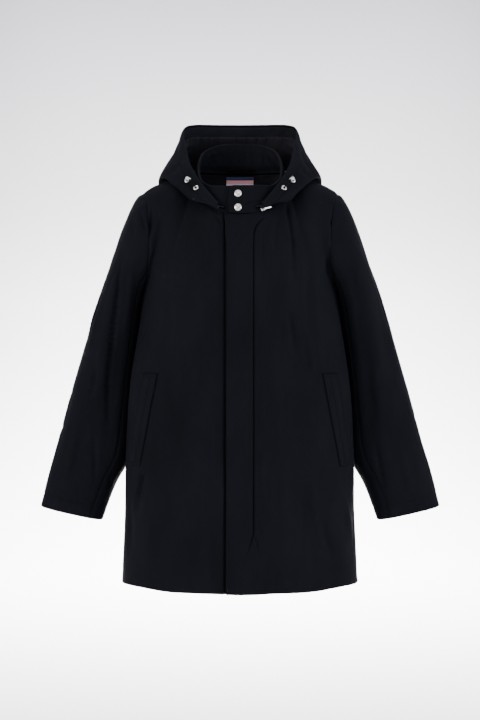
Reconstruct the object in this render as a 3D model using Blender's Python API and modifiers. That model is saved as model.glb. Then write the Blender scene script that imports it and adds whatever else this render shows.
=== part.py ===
"""A hooded parka of dark padded cloth, filled out as if worn: collar closed, hood down.

Metres, +Z up, the front faces -Y and the wearer's left is +X. The origin is at the
base of the neck, level with the shoulder seams' inner ends. Every cloth piece is a wall
with its outer face on a surface worked out from the short tables below.
"""

import math
from collections import namedtuple

import bpy
import numpy as np
from mathutils import Matrix, Vector

# Cloth walls and the gaps between pieces.
WALL = 0.003
TRIM_WALL = 0.0016
SEAM_GAP = 0.0003
SEAM_MARGIN = 0.012
TOP_MARGIN = 0.015
SHOULDER_GAP = 0.0005
LAYER_GAP = 0.0006
COLLAR_GAP = 0.0010
NECK_GAP = 0.0016

# Body: half-section rows from the chest line down to the hem.
BODY_COLUMNS = ("height", "half_width", "front_y", "side_y", "back_y", "squareness")
BODY = (
    (-0.252, 0.2050, -0.1250, 0.0000, 0.128, 2.20),
    (-0.300, 0.2100, -0.1265, -0.0120, 0.127, 2.25),
    (-0.360, 0.2190, -0.1270, -0.0240, 0.125, 2.30),
    (-0.440, 0.2290, -0.1250, -0.0320, 0.121, 2.35),
    (-0.594, 0.2385, -0.1190, -0.0320, 0.117, 2.35),
    (-0.727, 0.2415, -0.1140, -0.0250, 0.114, 2.30),
    (-0.800, 0.2450, -0.1110, -0.0200, 0.112, 2.30),
    (-0.871, 0.2480, -0.1090, -0.0160, 0.111, 2.30),
)
CHEST_Z = -0.252
HEM_Z = -0.871
HEM_HALF_WIDTH = 0.248
HEM_DROOP = 0.0045
HEM_WAVE = 0.0015
HEM_WAVES = 16
BODY_ROWS = 8
YOKE_ROWS = 10

# Neck: the seam that the fronts and back share with the collar, and the collar's top edge.
NECK_COLUMNS = ("angle", "seam_x", "seam_y", "seam_z", "top_x", "top_y", "top_z")
NECK = (
    (0, 0.0000, -0.112, -0.1030, 0.0000, -0.100, -0.0445),
    (20, 0.0360, -0.107, -0.0985, 0.0345, -0.095, -0.0435),
    (40, 0.0660, -0.088, -0.0810, 0.0640, -0.078, -0.0400),
    (60, 0.0860, -0.056, -0.0520, 0.0835, -0.050, -0.0240),
    (80, 0.0940, -0.019, -0.0215, 0.0905, -0.016, 0.0020),
    (100, 0.0940, 0.014, -0.0050, 0.0890, 0.015, 0.0270),
    (120, 0.0850, 0.042, 0.0020, 0.0800, 0.043, 0.0470),
    (140, 0.0660, 0.063, 0.0040, 0.0620, 0.065, 0.0600),
    (160, 0.0360, 0.075, 0.0040, 0.0340, 0.078, 0.0670),
    (180, 0.0000, 0.079, 0.0040, 0.0000, 0.082, 0.0690),
)
NECK_HALF_WIDTH = 0.0950
NECK_SAMPLES = 80
SHOULDER_ANGLE = 92
SHOULDER_TIP = (0.2090, 0.0030, -0.0455)
SHOULDER_CREST = (0.1550, 0.0010, -0.0105)

# Handles of the curves that climb from the chest line to the neck and shoulder seams,
# by the share of the way from the centre line to the armhole.
CLIMB_COLUMNS = ("share", "low_x", "low_y", "low_z", "high_x", "high_y", "high_z")
FRONT_CLIMB = (
    (0.00, 0.000, -0.002, 0.060, 0.000, -0.003, -0.045),
    (0.30, -0.008, -0.006, 0.080, 0.000, -0.026, -0.044),
    (0.45, -0.011, -0.008, 0.088, 0.000, -0.042, -0.040),
    (0.55, -0.014, -0.010, 0.088, 0.004, -0.050, -0.032),
    (0.65, -0.022, -0.016, 0.082, -0.006, -0.070, -0.012),
    (0.75, -0.030, -0.024, 0.075, -0.015, -0.088, 0.000),
    (0.88, -0.032, -0.050, 0.052, -0.023, -0.093, -0.001),
    (1.00, -0.030, -0.110, 0.017, -0.020, -0.080, -0.003),
)
BACK_CLIMB = (
    (0.00, 0.000, 0.004, 0.080, 0.000, 0.024, -0.050),
    (0.30, -0.006, 0.008, 0.080, 0.000, 0.042, -0.036),
    (0.55, -0.014, 0.014, 0.080, -0.004, 0.090, -0.010),
    (0.75, -0.030, 0.028, 0.075, -0.015, 0.103, 0.000),
    (0.88, -0.033, 0.056, 0.055, -0.020, 0.102, -0.001),
    (1.00, -0.026, 0.118, 0.020, -0.016, 0.088, -0.003),
)

# Front closing: the left front laps over the right one as a concealed fly.
FLY_EDGE = -0.025
FLY_STITCH = 0.030
UNDERLAP = 0.022
FLY_RISE = 0.0046
FLY_FADE = 0.032
FRONT_STEPS = (7, 4)
BACK_STEPS = (5, 4)

# Large soft folds: ridges (plus) and troughs (minus) that stand out from the fronts.
# across is the distance from the centre line on the wearer's left (plus) or right (minus).
Fold = namedtuple("Fold", "across lean top_z bottom_z half_width rise")
BODY_FOLDS = (
    Fold(0.098, 0.05, -0.130, -0.400, 0.020, 0.0030),
    Fold(0.135, 0.02, -0.260, -0.640, 0.024, 0.0035),
    Fold(0.075, -0.03, -0.420, -0.800, 0.024, 0.0030),
    Fold(-0.105, 0.02, -0.180, -0.470, 0.024, 0.0030),
    Fold(-0.080, -0.02, -0.520, -0.840, 0.026, 0.0025),
    Fold(-0.185, 0.00, -0.560, -0.850, 0.024, 0.0030),
    Fold(0.190, 0.00, -0.600, -0.860, 0.026, 0.0030),
)
BACK_FOLDS = (
    Fold(0.110, 0.03, -0.160, -0.520, 0.026, 0.0035),
    Fold(-0.095, -0.02, -0.220, -0.600, 0.026, 0.0035),
    Fold(0.040, 0.00, -0.450, -0.820, 0.028, 0.0030),
    Fold(-0.160, 0.02, -0.520, -0.840, 0.026, 0.0030),
)
FOLD_FADE = 0.12

# Sleeve: rings from below the armpit to the cuff, and the angles of its two seams.
SLEEVE_COLUMNS = ("along", "inner_x", "inner_z", "outer_x", "outer_z", "middle_y", "half_depth")
SLEEVE = (
    (0.22, 0.2130, -0.306, 0.2990, -0.272, 0.022, 0.080),
    (0.42, 0.2290, -0.418, 0.3340, -0.388, 0.030, 0.078),
    (0.60, 0.2400, -0.525, 0.3640, -0.500, 0.032, 0.070),
    (0.72, 0.2465, -0.600, 0.3810, -0.568, 0.026, 0.062),
    (0.85, 0.2660, -0.662, 0.3990, -0.630, 0.012, 0.050),
    (1.00, 0.2915, -0.734, 0.4190, -0.704, -0.004, 0.036),
)
# Which way the cap leaves the armhole, and for what share of its reach: bottom, sides, top.
CAP_LEAVE = (
    (0.50, 0.0, -0.85, 0.30),
    (0.86, 0.0, -0.48, 0.30),
    (0.82, 0.0, -0.57, 0.15),
)
CAP_ARRIVE = 0.33
ARMHOLE_GAP = 0.0018
ARMHOLE_MITRE = 2.1
ARMHOLE_BESIDE = 0.97
SLEEVE_SQUARENESS = 2.15
CAP_ROWS = 5
CAP_MARGIN = 0.03
SLEEVE_ROWS = 11
FRONT_SEAM_CUFF_DEG = 236
BACK_SEAM_CUFF_DEG = 124
SEAM_VERTEX = 3
SLEEVE_GAP = 0.0011

# Folds of a sleeve: places round it in degrees and along it in shares, at both ends.
SleeveFold = namedtuple("SleeveFold", "start_deg end_deg start end half_deg rise")
SLEEVE_FOLDS = (
    SleeveFold(292, 268, 0.10, 0.62, 15, 0.0055),
    SleeveFold(262, 250, 0.20, 0.80, 12, -0.0035),
    SleeveFold(325, 300, 0.30, 0.95, 16, 0.0040),
    SleeveFold(60, 80, 0.12, 0.60, 16, 0.0050),
    SleeveFold(30, 55, 0.45, 0.95, 16, 0.0040),
)

# Hood, lying back: its neck edge lies outside the collar seam, then the cloth drops under
# the roll, turns at it and climbs to the brim.
HOOD_COLUMNS = (
    "angle", "under_x", "under_y", "under_z", "roll_x", "roll_y", "roll_z",
    "brim_x", "brim_y", "brim_z", "bulge",
)
HOOD = (
    (21, 0.0450, -0.1185, -0.0915, 0.0485, -0.1210, -0.0870, 0.0440, -0.1165, -0.0795, 0.001),
    (40, 0.0720, -0.1030, -0.0790, 0.0770, -0.1060, -0.0730, 0.0660, -0.0990, -0.0530, 0.002),
    (58, 0.0990, -0.0820, -0.0690, 0.1050, -0.0850, -0.0590, 0.0855, -0.0770, -0.0260, 0.004),
    (75, 0.1280, -0.0480, -0.0370, 0.1410, -0.0530, -0.0300, 0.1045, -0.0500, 0.0095, 0.006),
    (95, 0.1470, 0.0050, -0.0080, 0.1710, 0.0060, -0.0120, 0.1140, -0.0180, 0.0430, 0.009),
    (112, 0.1420, 0.0700, -0.0400, 0.1740, 0.0700, -0.0420, 0.1220, 0.0200, 0.0780, 0.011),
    (130, 0.1180, 0.1330, -0.1150, 0.1560, 0.1350, -0.0850, 0.1210, 0.0600, 0.1035, 0.013),
    (148, 0.0850, 0.1620, -0.1700, 0.1200, 0.1760, -0.1150, 0.0980, 0.0880, 0.1145, 0.015),
    (164, 0.0450, 0.1720, -0.1900, 0.0640, 0.2030, -0.1280, 0.0550, 0.1000, 0.1165, 0.016),
    (180, 0.0000, 0.1750, -0.1950, 0.0000, 0.2120, -0.1320, 0.0000, 0.1030, 0.1165, 0.016),
)
HOOD_KNOTS = (0.0, 0.22, 0.48, 0.76, 1.0)
HOOD_FRONT_DEG = 21
CENTRE_PANEL_DEG = 151
HOOD_ROWS = 12
HOOD_SIDE_STEPS = 12
HOOD_CENTRE_STEPS = 6
HOOD_CLEAR = 0.0026
CLEAR_REACH = 0.05
HOOD_MIDDLE_Y = 0.02
FACING_FROM = 0.89
FACING_FIRST_DEG = 36
FACING_GAP = 0.0013
FACING_ROWS = 3
LINING_FROM = 0.62
LINING_TO = 0.88
LINING_FIRST_DEG = 88
GATHERS = 14
GATHER_DEPTH = 0.0010
LINING_GAP = 0.0026
HOOD_SEAM_GAP = 0.0011
TAPE_WALL = 0.0012
TAPE_SHARES = (0.10, 0.22)
HOOD_NECK_SHARE = 0.18
HOOD_NECK_OUT = 0.0028

# Collar: its left end laps over its right end at the front.
COLLAR_OVER_DEG = -12.5
COLLAR_LAP_END_DEG = 60
COLLAR_UNDER_DEG = 371.5
COLLAR_STEPS = 38
COLLAR_ROWS = 4
COLLAR_BELLY = 0.002

# Hardware.
SNAP_RADIUS = 0.0075
SNAP_HEIGHT = 0.0030
SNAP_SEAT = 0.0005
SNAP_DEG = -2.0
SNAP_SHARES = (0.22, 0.72)
EYELET_RADIUS = 0.0056
EYELET_HOLE = 0.0019
EYELET_HEIGHT = 0.0016
EYELET_SEAT = 0.0003
EYELET_PLACES = ((54, 0.80), (68, 0.78))
CORD_RADIUS = 0.0014
CORD_REACH = 0.030
CORD_POINTS = 17
LOCK_LENGTH = 0.0100
LOCK_RADIUS = 0.0034
LOCK_BORE = 0.0022
LOCK_SHIFT = 3
TAPE_FIRST_DEG = 17
TAPE_STEPS = 32
SLIDER_DEG = 24.0
SLIDER_SHARE = 0.032
SLIDER_SIZE = (0.0070, 0.0026, 0.0050)
SLIDER_HEADING = (0.86, 0.42, 0.28)
BAIL_REACH = 0.0038
BAIL_WIDTH = 0.0020
BAIL_ARM = 0.0009
BAIL_POST = 0.0008
BAIL_LAP = 0.0006
BAIL_INSET = 0.0002
PULL_EYE = 0.0020
PULL_HOLE = 0.0012
PULL_LENGTH = 0.0160
PULL_HEIGHT = 0.0026
PULL_THICKNESS = 0.0012
LABEL_HALF = 0.030
LABEL_UPS = (0.80, 0.975)
LABEL_WALL = 0.0008
LABEL_COLUMNS = 4
LABEL_ROWS = 3
HANGER_HALF_DEG = 17
HANGER_SHARES = (0.06, 0.15)
HANGER_BOW = 0.0045
HANGER_STEPS = 10

# Pocket welts, slanted: the edge nearer the centre line, and the welt's width.
POCKET_TOP_Z = -0.425
POCKET_BOTTOM_Z = -0.618
POCKET_TOP_ACROSS = 0.172
POCKET_BOTTOM_ACROSS = 0.212
POCKET_WIDTH = 0.036
POCKET_ROWS = 8
POCKET_COLUMNS = 3
WELT_WALL = 0.0027

CLOTH = (0.0105, 0.0118, 0.0165, 1.0)
LINING = (0.0070, 0.0078, 0.0110, 1.0)
STEEL = (0.62, 0.61, 0.58, 1.0)
BLACK = (0.012, 0.012, 0.014, 1.0)
RIBBON = (0.62, 0.58, 0.60, 1.0)


def column(table, names, name):
    """One named column of a table."""
    return np.array([row[names.index(name)] for row in table], float)


def smooth(knots, values, at):
    """A smooth curve through the rows of a table; values may hold several columns."""
    knots = np.asarray(knots, float)
    values = np.asarray(values, float)
    at = np.asarray(at, float)
    slopes = np.gradient(values, knots, axis=0)
    low = np.clip(np.searchsorted(knots, at, side="right") - 1, 0, len(knots) - 2)
    span = knots[low + 1] - knots[low]
    t = np.clip((at - knots[low]) / span, 0.0, 1.0)
    if values.ndim > 1:
        span = span[..., None]
        t = t[..., None]
    start = (2 * t**3 - 3 * t**2 + 1) * values[low]
    leave = (t**3 - 2 * t**2 + t) * span * slopes[low]
    end = (3 * t**2 - 2 * t**3) * values[low + 1]
    arrive = (t**3 - t**2) * span * slopes[low + 1]
    return start + leave + end + arrive


def columns(table, names, wanted, at):
    """Several named columns of a table at the given places in its first column."""
    values = np.stack([column(table, names, name) for name in wanted], axis=1)
    knots = column(table, names, names[0])
    order = np.argsort(knots)
    return smooth(knots[order], values[order], at)


def ease(value):
    """0 to 1 with soft ends."""
    value = np.clip(value, 0.0, 1.0)
    return value * value * (3 - 2 * value)


def bezier(p0, p1, p2, p3, t):
    """Points of a cubic curve."""
    t = np.asarray(t, float)[..., None]
    s = 1 - t
    return s**3 * p0 + 3 * s * s * t * p1 + 3 * s * t * t * p2 + t**3 * p3


def lengths(points):
    """The distance along a line at each of its points."""
    steps = np.linalg.norm(np.diff(points, axis=0), axis=1)
    return np.concatenate([[0.0], np.cumsum(steps)])


def at_length(points, wanted):
    """Points at the given distances along a line."""
    along = lengths(points)
    return np.stack([np.interp(wanted, along, points[:, k]) for k in range(3)], axis=1)


def shares(count, margin=SEAM_MARGIN):
    """Even shares from 0 to 1, with a narrow step at each end so that seams meet squarely."""
    return np.concatenate([[0.0, margin], np.linspace(0, 1, count + 1)[1:-1], [1 - margin, 1.0]])


def wrapped(degrees):
    """Signed angles, between minus and plus half a turn."""
    return (np.asarray(degrees, float) + 180) % 360 - 180


def mirrored(points):
    """The same points on the other side of the centre plane."""
    return points * np.array([-1.0, 1.0, 1.0])


# Neck, shoulder and armhole lines.


def neck_point(angle, edge="seam"):
    """Points of the collar's seam or top edge; minus angles are the wearer's right."""
    angle = np.asarray(angle, float)
    points = columns(NECK, NECK_COLUMNS, [f"{edge}_{axis}" for axis in "xyz"], np.abs(angle))
    points[..., 0] = np.abs(points[..., 0]) * np.sign(angle)
    return points


def shoulder_line(t):
    """The shoulder seam, from the neck (0) to the tip (1)."""
    inner = neck_point(np.array([SHOULDER_ANGLE]))[0]
    crest = np.array(SHOULDER_CREST)
    tip = np.array(SHOULDER_TIP)
    t = np.asarray(t, float)[:, None]
    return (1 - t) ** 2 * inner + 2 * t * (1 - t) * crest + t * t * tip


def top_edge(first_angle):
    """Neck seam from its middle to the shoulder, then the shoulder seam, as one fine line."""
    neck = neck_point(np.linspace(first_angle, SHOULDER_ANGLE, NECK_SAMPLES))
    return np.concatenate([neck, shoulder_line(np.linspace(0, 1, NECK_SAMPLES))[1:]])


TOP_FRONT = top_edge(0.0)
TOP_BACK = top_edge(180.0)


# Body skin.


def half_section(height, back):
    """The fine half-section of the front or back at one height, from the middle to the side."""
    wide, front_y, side_y, back_y, power = columns(
        BODY, BODY_COLUMNS, BODY_COLUMNS[1:], np.array([height])
    )[0]
    turn = np.linspace(0, math.pi / 2, 160)
    x = wide * np.sin(turn) ** (2 / power)
    far_y = back_y if back else front_y
    y = side_y + (far_y - side_y) * np.cos(turn) ** (2 / power)
    return np.stack([x, y, np.full_like(x, height)], axis=1)


def section_points(height, across, back):
    """Points at signed shares across a section: 0 is the middle and 1 the side seam."""
    line = half_section(height, back)
    points = at_length(line, np.abs(across) * lengths(line)[-1])
    points[:, 0] *= np.sign(across) + (across == 0)
    return points


def climb_points(across, up, back):
    """Points between the chest line (up = 0) and the neck and shoulder seams (up = 1)."""
    chest = section_points(CHEST_Z, across, back)
    line = TOP_BACK if back else TOP_FRONT
    top = at_length(line, np.abs(across) * lengths(line)[-1])
    side = np.where(across < 0, -1.0, 1.0)
    top[:, 0] *= side
    handles = columns(
        BACK_CLIMB if back else FRONT_CLIMB, CLIMB_COLUMNS, CLIMB_COLUMNS[1:], np.abs(across)
    )
    handles[:, 0] *= side
    handles[:, 3] *= side
    return bezier(chest, chest + handles[:, :3], top + handles[:, 3:], top, np.full(len(across), up))


def fold_rise(across_m, height, folds):
    """How far the large folds stand out at a place on the cloth."""
    rise = np.zeros_like(across_m)
    for fold in folds:
        down = (fold.top_z - height) / (fold.top_z - fold.bottom_z)
        middle = fold.across + fold.lean * (down - 0.5)
        body = np.sin(np.pi * np.clip(down, 0, 1)) ** 1.5
        rise += fold.rise * body * np.exp(-(((across_m - middle) / fold.half_width) ** 2))
    return rise


def panel_shares(first, line, neck_steps, shoulder_steps):
    """Shares across a panel with one column at the inner end of the shoulder seam."""
    corner = lengths(line)[NECK_SAMPLES - 1] / lengths(line)[-1]
    neck = np.linspace(first, corner, neck_steps + 1)
    shoulder = np.linspace(corner, 1.0, shoulder_steps + 1)
    ends = [first + SEAM_MARGIN], [1.0 - SEAM_MARGIN]
    return np.concatenate([neck[:1], ends[0], neck[1:-1], shoulder[:-1], ends[1], shoulder[-1:]])


def body_skin(across, heights, ups, back):
    """Rows of the body's outer skin, from the hem up: sections, then climbing rows."""
    low = [section_points(z, across, back) for z in heights]
    high = [climb_points(across, up, back) for up in ups]
    return np.stack(low + high)


def skin_normals(grid, flip=1.0):
    """Unit normals at the points of a grid."""
    du = np.gradient(grid, axis=1)
    dv = np.gradient(grid, axis=0)
    normal = np.cross(du, dv) * flip
    size = np.linalg.norm(normal, axis=2, keepdims=True)
    return normal / np.maximum(size, 1e-9)


def body_heights():
    """Section heights from the hem to just under the chest line."""
    return np.linspace(HEM_Z, CHEST_Z, BODY_ROWS + 1)[:-1]


def body_ups():
    """Shares of the climb from the chest line to the top edge."""
    return np.concatenate([np.linspace(0, 1, YOKE_ROWS + 1)[:-1], [1 - TOP_MARGIN, 1.0]])


def fly_raise(across_m):
    """How far the lapping left front stands off the right one near the centre line."""
    return FLY_RISE * (1 - ease((across_m - FLY_STITCH) / FLY_FADE))


def front_grid(side):
    """The outer skin of one front: side is 1 for the wearer's left and -1 for the right."""
    half = lengths(half_section(CHEST_Z, False))[-1]
    first = FLY_EDGE / half if side > 0 else -UNDERLAP / half
    across = panel_shares(first, TOP_FRONT, *FRONT_STEPS)
    grid = body_skin(across, body_heights(), body_ups(), False)
    across_m = np.broadcast_to(across * half * side, grid.shape[:2])
    folds = fold_rise(across_m, grid[:, :, 2], BODY_FOLDS)
    rise = folds * ease((1 - across) / FOLD_FADE)
    if side > 0:
        rise = rise + fly_raise(across * half)
    grid = grid + skin_normals(grid) * rise[..., None]
    middle = np.clip(1 - np.abs(grid[0, :, 0]) / HEM_HALF_WIDTH, 0, 1)
    grid[0, :, 2] -= HEM_DROOP * middle + HEM_WAVE * np.sin(across * HEM_WAVES)
    return grid if side > 0 else mirrored(grid)


def back_grid():
    """The outer skin of the whole back, from the wearer's right to the left."""
    half_shares = np.delete(panel_shares(0.0, TOP_BACK, *BACK_STEPS), (0, 1))
    across = np.concatenate([-(half_shares[::-1]), [0.0], half_shares])
    half = lengths(half_section(CHEST_Z, True))[-1]
    grid = body_skin(across, body_heights(), body_ups(), True)
    across_m = np.broadcast_to(across * half, grid.shape[:2])
    folds = fold_rise(across_m, grid[:, :, 2], BACK_FOLDS)
    folds = folds * ease((1 - np.abs(across)) / FOLD_FADE)
    grid = grid + skin_normals(grid, -1.0) * folds[..., None]
    grid[0, :, 2] -= HEM_WAVE * np.sin(across * HEM_WAVES)
    return grid


def shrunk(grid, left=0.0, right=0.0, bottom=0.0, top=0.0):
    """A grid pulled back from its edges by small distances along its own lines."""
    grid = grid.copy()
    for edge, inner, distance in (
        (np.s_[:, 0], np.s_[:, 1], left),
        (np.s_[:, -1], np.s_[:, -2], right),
        (np.s_[0, :], np.s_[1, :], bottom),
        (np.s_[-1, :], np.s_[-2, :], top),
    ):
        step = grid[inner] - grid[edge]
        size = np.linalg.norm(step, axis=-1, keepdims=True)
        grid[edge] += step / np.maximum(size, 1e-9) * np.minimum(distance, 0.6 * size)
    return grid


# Sleeve skin.


def armhole_line(is_back, across=1.0):
    """The armhole edge of the front or back panel, or a line beside it, from the armpit up."""
    return np.concatenate([climb_points(np.array([across]), up, is_back) for up in body_ups()])


def armhole_point(degrees, across=1.0):
    """The armhole of the wearer's left side: 0 is the top, 90 the back, 180 the armpit."""
    degrees = np.asarray(degrees, float) % 360
    back = degrees <= 180
    share = np.where(back, 1 - degrees / 180, (degrees - 180) / 180)
    points = np.zeros((len(degrees), 3))
    for is_back in (True, False):
        line = armhole_line(is_back, across)
        chosen = back if is_back else ~back
        points[chosen] = at_length(line, share * lengths(line)[-1])[chosen]
    return points


def armhole_gap(degrees, leave):
    """The seam gap round the armhole, wider where the sleeve's wall turns in behind the edge."""
    edge = armhole_point(degrees)
    across = edge - armhole_point(degrees, ARMHOLE_BESIDE)
    along = armhole_point(degrees + 1) - armhole_point(degrees - 1)
    outward = np.cross(across, along)
    outward /= np.linalg.norm(outward, axis=1, keepdims=True)
    turned_in = np.maximum(-(leave * outward).sum(axis=1, keepdims=True), 0.0)
    return ARMHOLE_GAP + ARMHOLE_MITRE * WALL * turned_in


def sleeve_ring(along, degrees):
    """Points round the sleeve at shares of its length, past the cap."""
    inner_x, inner_z, outer_x, outer_z, middle_y, half_depth = columns(
        SLEEVE, SLEEVE_COLUMNS, SLEEVE_COLUMNS[1:], np.array([along])
    )[0]
    turn = np.radians(degrees)
    across = np.cos(turn)
    deep = np.sin(turn)
    middle = np.array([(inner_x + outer_x) / 2, middle_y, (inner_z + outer_z) / 2])
    reach = np.array([(outer_x - inner_x) / 2, 0.0, (outer_z - inner_z) / 2])
    depth = np.array([0.0, half_depth, 0.0])
    power = 2 / SLEEVE_SQUARENESS
    shape_across = np.sign(across) * np.abs(across) ** power
    shape_deep = np.sign(deep) * np.abs(deep) ** power
    return middle + shape_across[:, None] * reach + shape_deep[:, None] * depth


def cap_points(share, degrees):
    """Points of the sleeve's cap, between the armhole (0) and its first full ring (1)."""
    first = SLEEVE[0][0]
    ring = sleeve_ring(first, degrees)
    start = armhole_point(degrees)
    leave = smooth((-1, 0, 1), CAP_LEAVE, np.cos(np.radians(degrees)))
    length = leave[:, 3:]
    leave = leave[:, :3] / np.linalg.norm(leave[:, :3], axis=1, keepdims=True)
    arrive = sleeve_ring(first + 0.02, degrees) - ring
    arrive /= np.linalg.norm(arrive, axis=1, keepdims=True)
    start = start + leave * armhole_gap(degrees, leave)
    reach = np.linalg.norm(ring - start, axis=1, keepdims=True)
    p1 = start + leave * reach * length
    p2 = ring - arrive * reach * CAP_ARRIVE
    return bezier(start, p1, p2, ring, np.full(len(degrees), share))


def sleeve_fold_rise(degrees, along):
    """How far the sleeve's folds stand out."""
    rise = np.zeros_like(degrees)
    for fold in SLEEVE_FOLDS:
        share = (along - fold.start) / (fold.end - fold.start)
        if 0 < share < 1:
            middle = fold.start_deg + (fold.end_deg - fold.start_deg) * share
            off = wrapped(degrees - middle)
            rise += fold.rise * math.sin(math.pi * share) * np.exp(-((off / fold.half_deg) ** 2))
    return rise


def armhole_degrees(is_back):
    """The places round the armhole of one panel's own points, from the armpit up."""
    line = armhole_line(is_back)
    share = np.delete(lengths(line) / lengths(line)[-1], -2)
    return 180 * (1 - share) if is_back else 180 * (1 + share)


def with_margins(degrees):
    """Places as shares of their span, with a narrow step at each end."""
    span = (degrees - degrees[0]) / (degrees[-1] - degrees[0])
    return np.concatenate([[0.0, SEAM_MARGIN], span[1:-1], [1 - SEAM_MARGIN, 1.0]])


def sleeve_grid(places, last_degrees):
    """The outer skin of the left sleeve between two seams, from the armhole to the cuff."""
    columns_at = with_margins(places)
    cap = np.concatenate([[0.0, CAP_MARGIN], np.linspace(0, 1, CAP_ROWS + 1)[1:-1]])
    whole = np.arange(0, 360, 10.0)
    first = SLEEVE[0][0]
    rows = [(first * share, True) for share in cap]
    rows += [(along, False) for along in np.linspace(first, 1.0, SLEEVE_ROWS + 1)]
    grid = []
    for along, in_cap in rows:
        start = places[0] + (last_degrees[0] - places[0]) * along
        end = places[-1] + (last_degrees[1] - places[-1]) * along
        degrees = start + (end - start) * columns_at
        if in_cap:
            points = cap_points(along / first, degrees)
            middle = cap_points(along / first, whole).mean(axis=0)
        else:
            points = sleeve_ring(along, degrees)
            middle = sleeve_ring(along, whole).mean(axis=0)
        outward = points - middle
        outward /= np.linalg.norm(outward, axis=1, keepdims=True)
        grid.append(points + outward * sleeve_fold_rise(degrees, along)[:, None])
    return np.stack(grid)


# Hood skin.


def stand_clear(points, skin, normals, clearance):
    """Points moved out until they lie at least the clearance outside a skin."""
    skin = skin.reshape(-1, 3)
    normals = normals.reshape(-1, 3)
    moved = points.reshape(-1, 3).copy()
    for _ in range(3):
        apart = moved[:, None, :] - skin[None, :, :]
        nearest = np.argmin((apart**2).sum(axis=2), axis=1)
        normal = normals[nearest]
        height = ((moved - skin[nearest]) * normal).sum(axis=1)
        lift = np.maximum(clearance - height, 0.0)
        near = np.linalg.norm(moved - skin[nearest], axis=1) < CLEAR_REACH
        moved += normal * (lift * near)[:, None]
    return moved.reshape(points.shape)


def hood_point(angle, share):
    """Points of the hood's outer skin: share 0 is the neck edge and 1 the brim."""
    angle = np.atleast_1d(np.asarray(angle, float))
    size = np.clip(np.abs(angle), HOOD_FRONT_DEG, 180)
    neck = collar_skin(size, [HOOD_NECK_SHARE], HOOD_NECK_OUT)[0]
    names = HOOD_COLUMNS[1:]
    row = columns(HOOD, HOOD_COLUMNS, names, size)
    under, roll, brim, bulge = row[:, 0:3], row[:, 3:6], row[:, 6:9], row[:, 9:10]
    middle = (roll + brim) / 2
    away = middle - np.array([0.0, HOOD_MIDDLE_Y, 0.0])
    away[:, 2] = 0.0
    away /= np.linalg.norm(away, axis=1, keepdims=True)
    middle = middle + away * bulge
    knots = np.stack([neck, under, roll, middle, brim])
    points = smooth(HOOD_KNOTS, knots.reshape(len(HOOD_KNOTS), -1), np.array([share]))
    points = points.reshape(-1, 3)
    points[:, 0] *= np.where(angle < 0, -1.0, 1.0)
    return points


def hood_grid(angles, rows):
    """Rows of the hood's outer skin from the neck edge to the brim."""
    return np.stack([hood_point(angles, share) for share in rows])


def body_cover():
    """A fine sample of the body's outer skin over the shoulders, with its normals."""
    across = np.linspace(0.0, 1.0, 60)
    ups = np.linspace(0, 1, 60)
    front = np.stack([climb_points(across, up, False) for up in ups])
    back = np.stack([climb_points(across, up, True) for up in ups])
    half = lengths(half_section(CHEST_Z, False))[-1]
    lap = front + skin_normals(front) * fly_raise(across * half)[None, :, None]
    skins = [lap, mirrored(front), back, mirrored(back)]
    normals = [skin_normals(skin, sign) for skin, sign in zip(skins, (1.0, -1.0, -1.0, 1.0))]
    return np.stack(skins), np.stack(normals)


# Blender objects.


def fabric(name, colour, roughness=0.62, metallic=0.0):
    """A Principled material, made once for each name."""
    material = bpy.data.materials.get(name)
    if material is None:
        material = bpy.data.materials.new(name)
        material.use_nodes = True
        shader = material.node_tree.nodes["Principled BSDF"]
        shader.inputs["Base Color"].default_value = colour
        shader.inputs["Roughness"].default_value = roughness
        shader.inputs["Metallic"].default_value = metallic
    return material


def add_object(name, data, material):
    """An object in the parka's collection."""
    piece = bpy.data.objects.new(name, data)
    data.materials.append(material)
    PARKA.objects.link(piece)
    return piece


def add_wall(name, grid, thickness, material, flip=False):
    """A cloth wall: a lofted skin through the grid's rows, thickened inwards by Solidify."""
    rows, count = grid.shape[:2]
    faces = []
    for row in range(rows - 1):
        for low in range(row * count, (row + 1) * count - 1):
            quad = (low, low + 1, low + count + 1, low + count)
            faces.append(quad[::-1] if flip else quad)
    mesh = bpy.data.meshes.new(name)
    mesh.from_pydata([Vector(p) for p in grid.reshape(-1, 3)], [], faces)
    mesh.shade_smooth()
    piece = add_object(name, mesh, material)
    solid = piece.modifiers.new("Thickness", "SOLIDIFY")
    solid.thickness = thickness
    solid.offset = -1.0
    return piece


def add_turned(name, profile, place, axis, material, steps=16):
    """A turned piece: a profile of (radius, height) pairs about an axis at a place."""
    mesh = bpy.data.meshes.new(name)
    points = [(radius, 0.0, height) for radius, height in profile]
    edges = [(i, i + 1) for i in range(len(points) - 1)]
    mesh.from_pydata(points, edges, [])
    piece = add_object(name, mesh, material)
    screw = piece.modifiers.new("Turn", "SCREW")
    screw.steps = steps
    screw.render_steps = steps
    screw.use_merge_vertices = True
    screw.merge_threshold = 0.00001
    turn = Vector(axis).to_track_quat("Z", "Y")
    piece.matrix_world = Matrix.Translation(Vector(place)) @ turn.to_matrix().to_4x4()
    return piece


def add_tube(name, points, radius, material):
    """A cord or wire along a line of points."""
    curve = bpy.data.curves.new(name, "CURVE")
    curve.dimensions = "3D"
    curve.bevel_depth = radius
    curve.bevel_resolution = 2
    curve.use_fill_caps = True
    line = curve.splines.new("POLY")
    line.points.add(len(points) - 1)
    for point, place in zip(line.points, points):
        point.co = (*place, 1.0)
    return add_object(name, curve, material)


# Collar skin.


def collar_lap(x):
    """How far the collar's left end stands off its right end, as the left front does."""
    stretch = lengths(TOP_FRONT)[-1] / lengths(half_section(CHEST_Z, False))[-1]
    return fly_raise(x / stretch)


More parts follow.
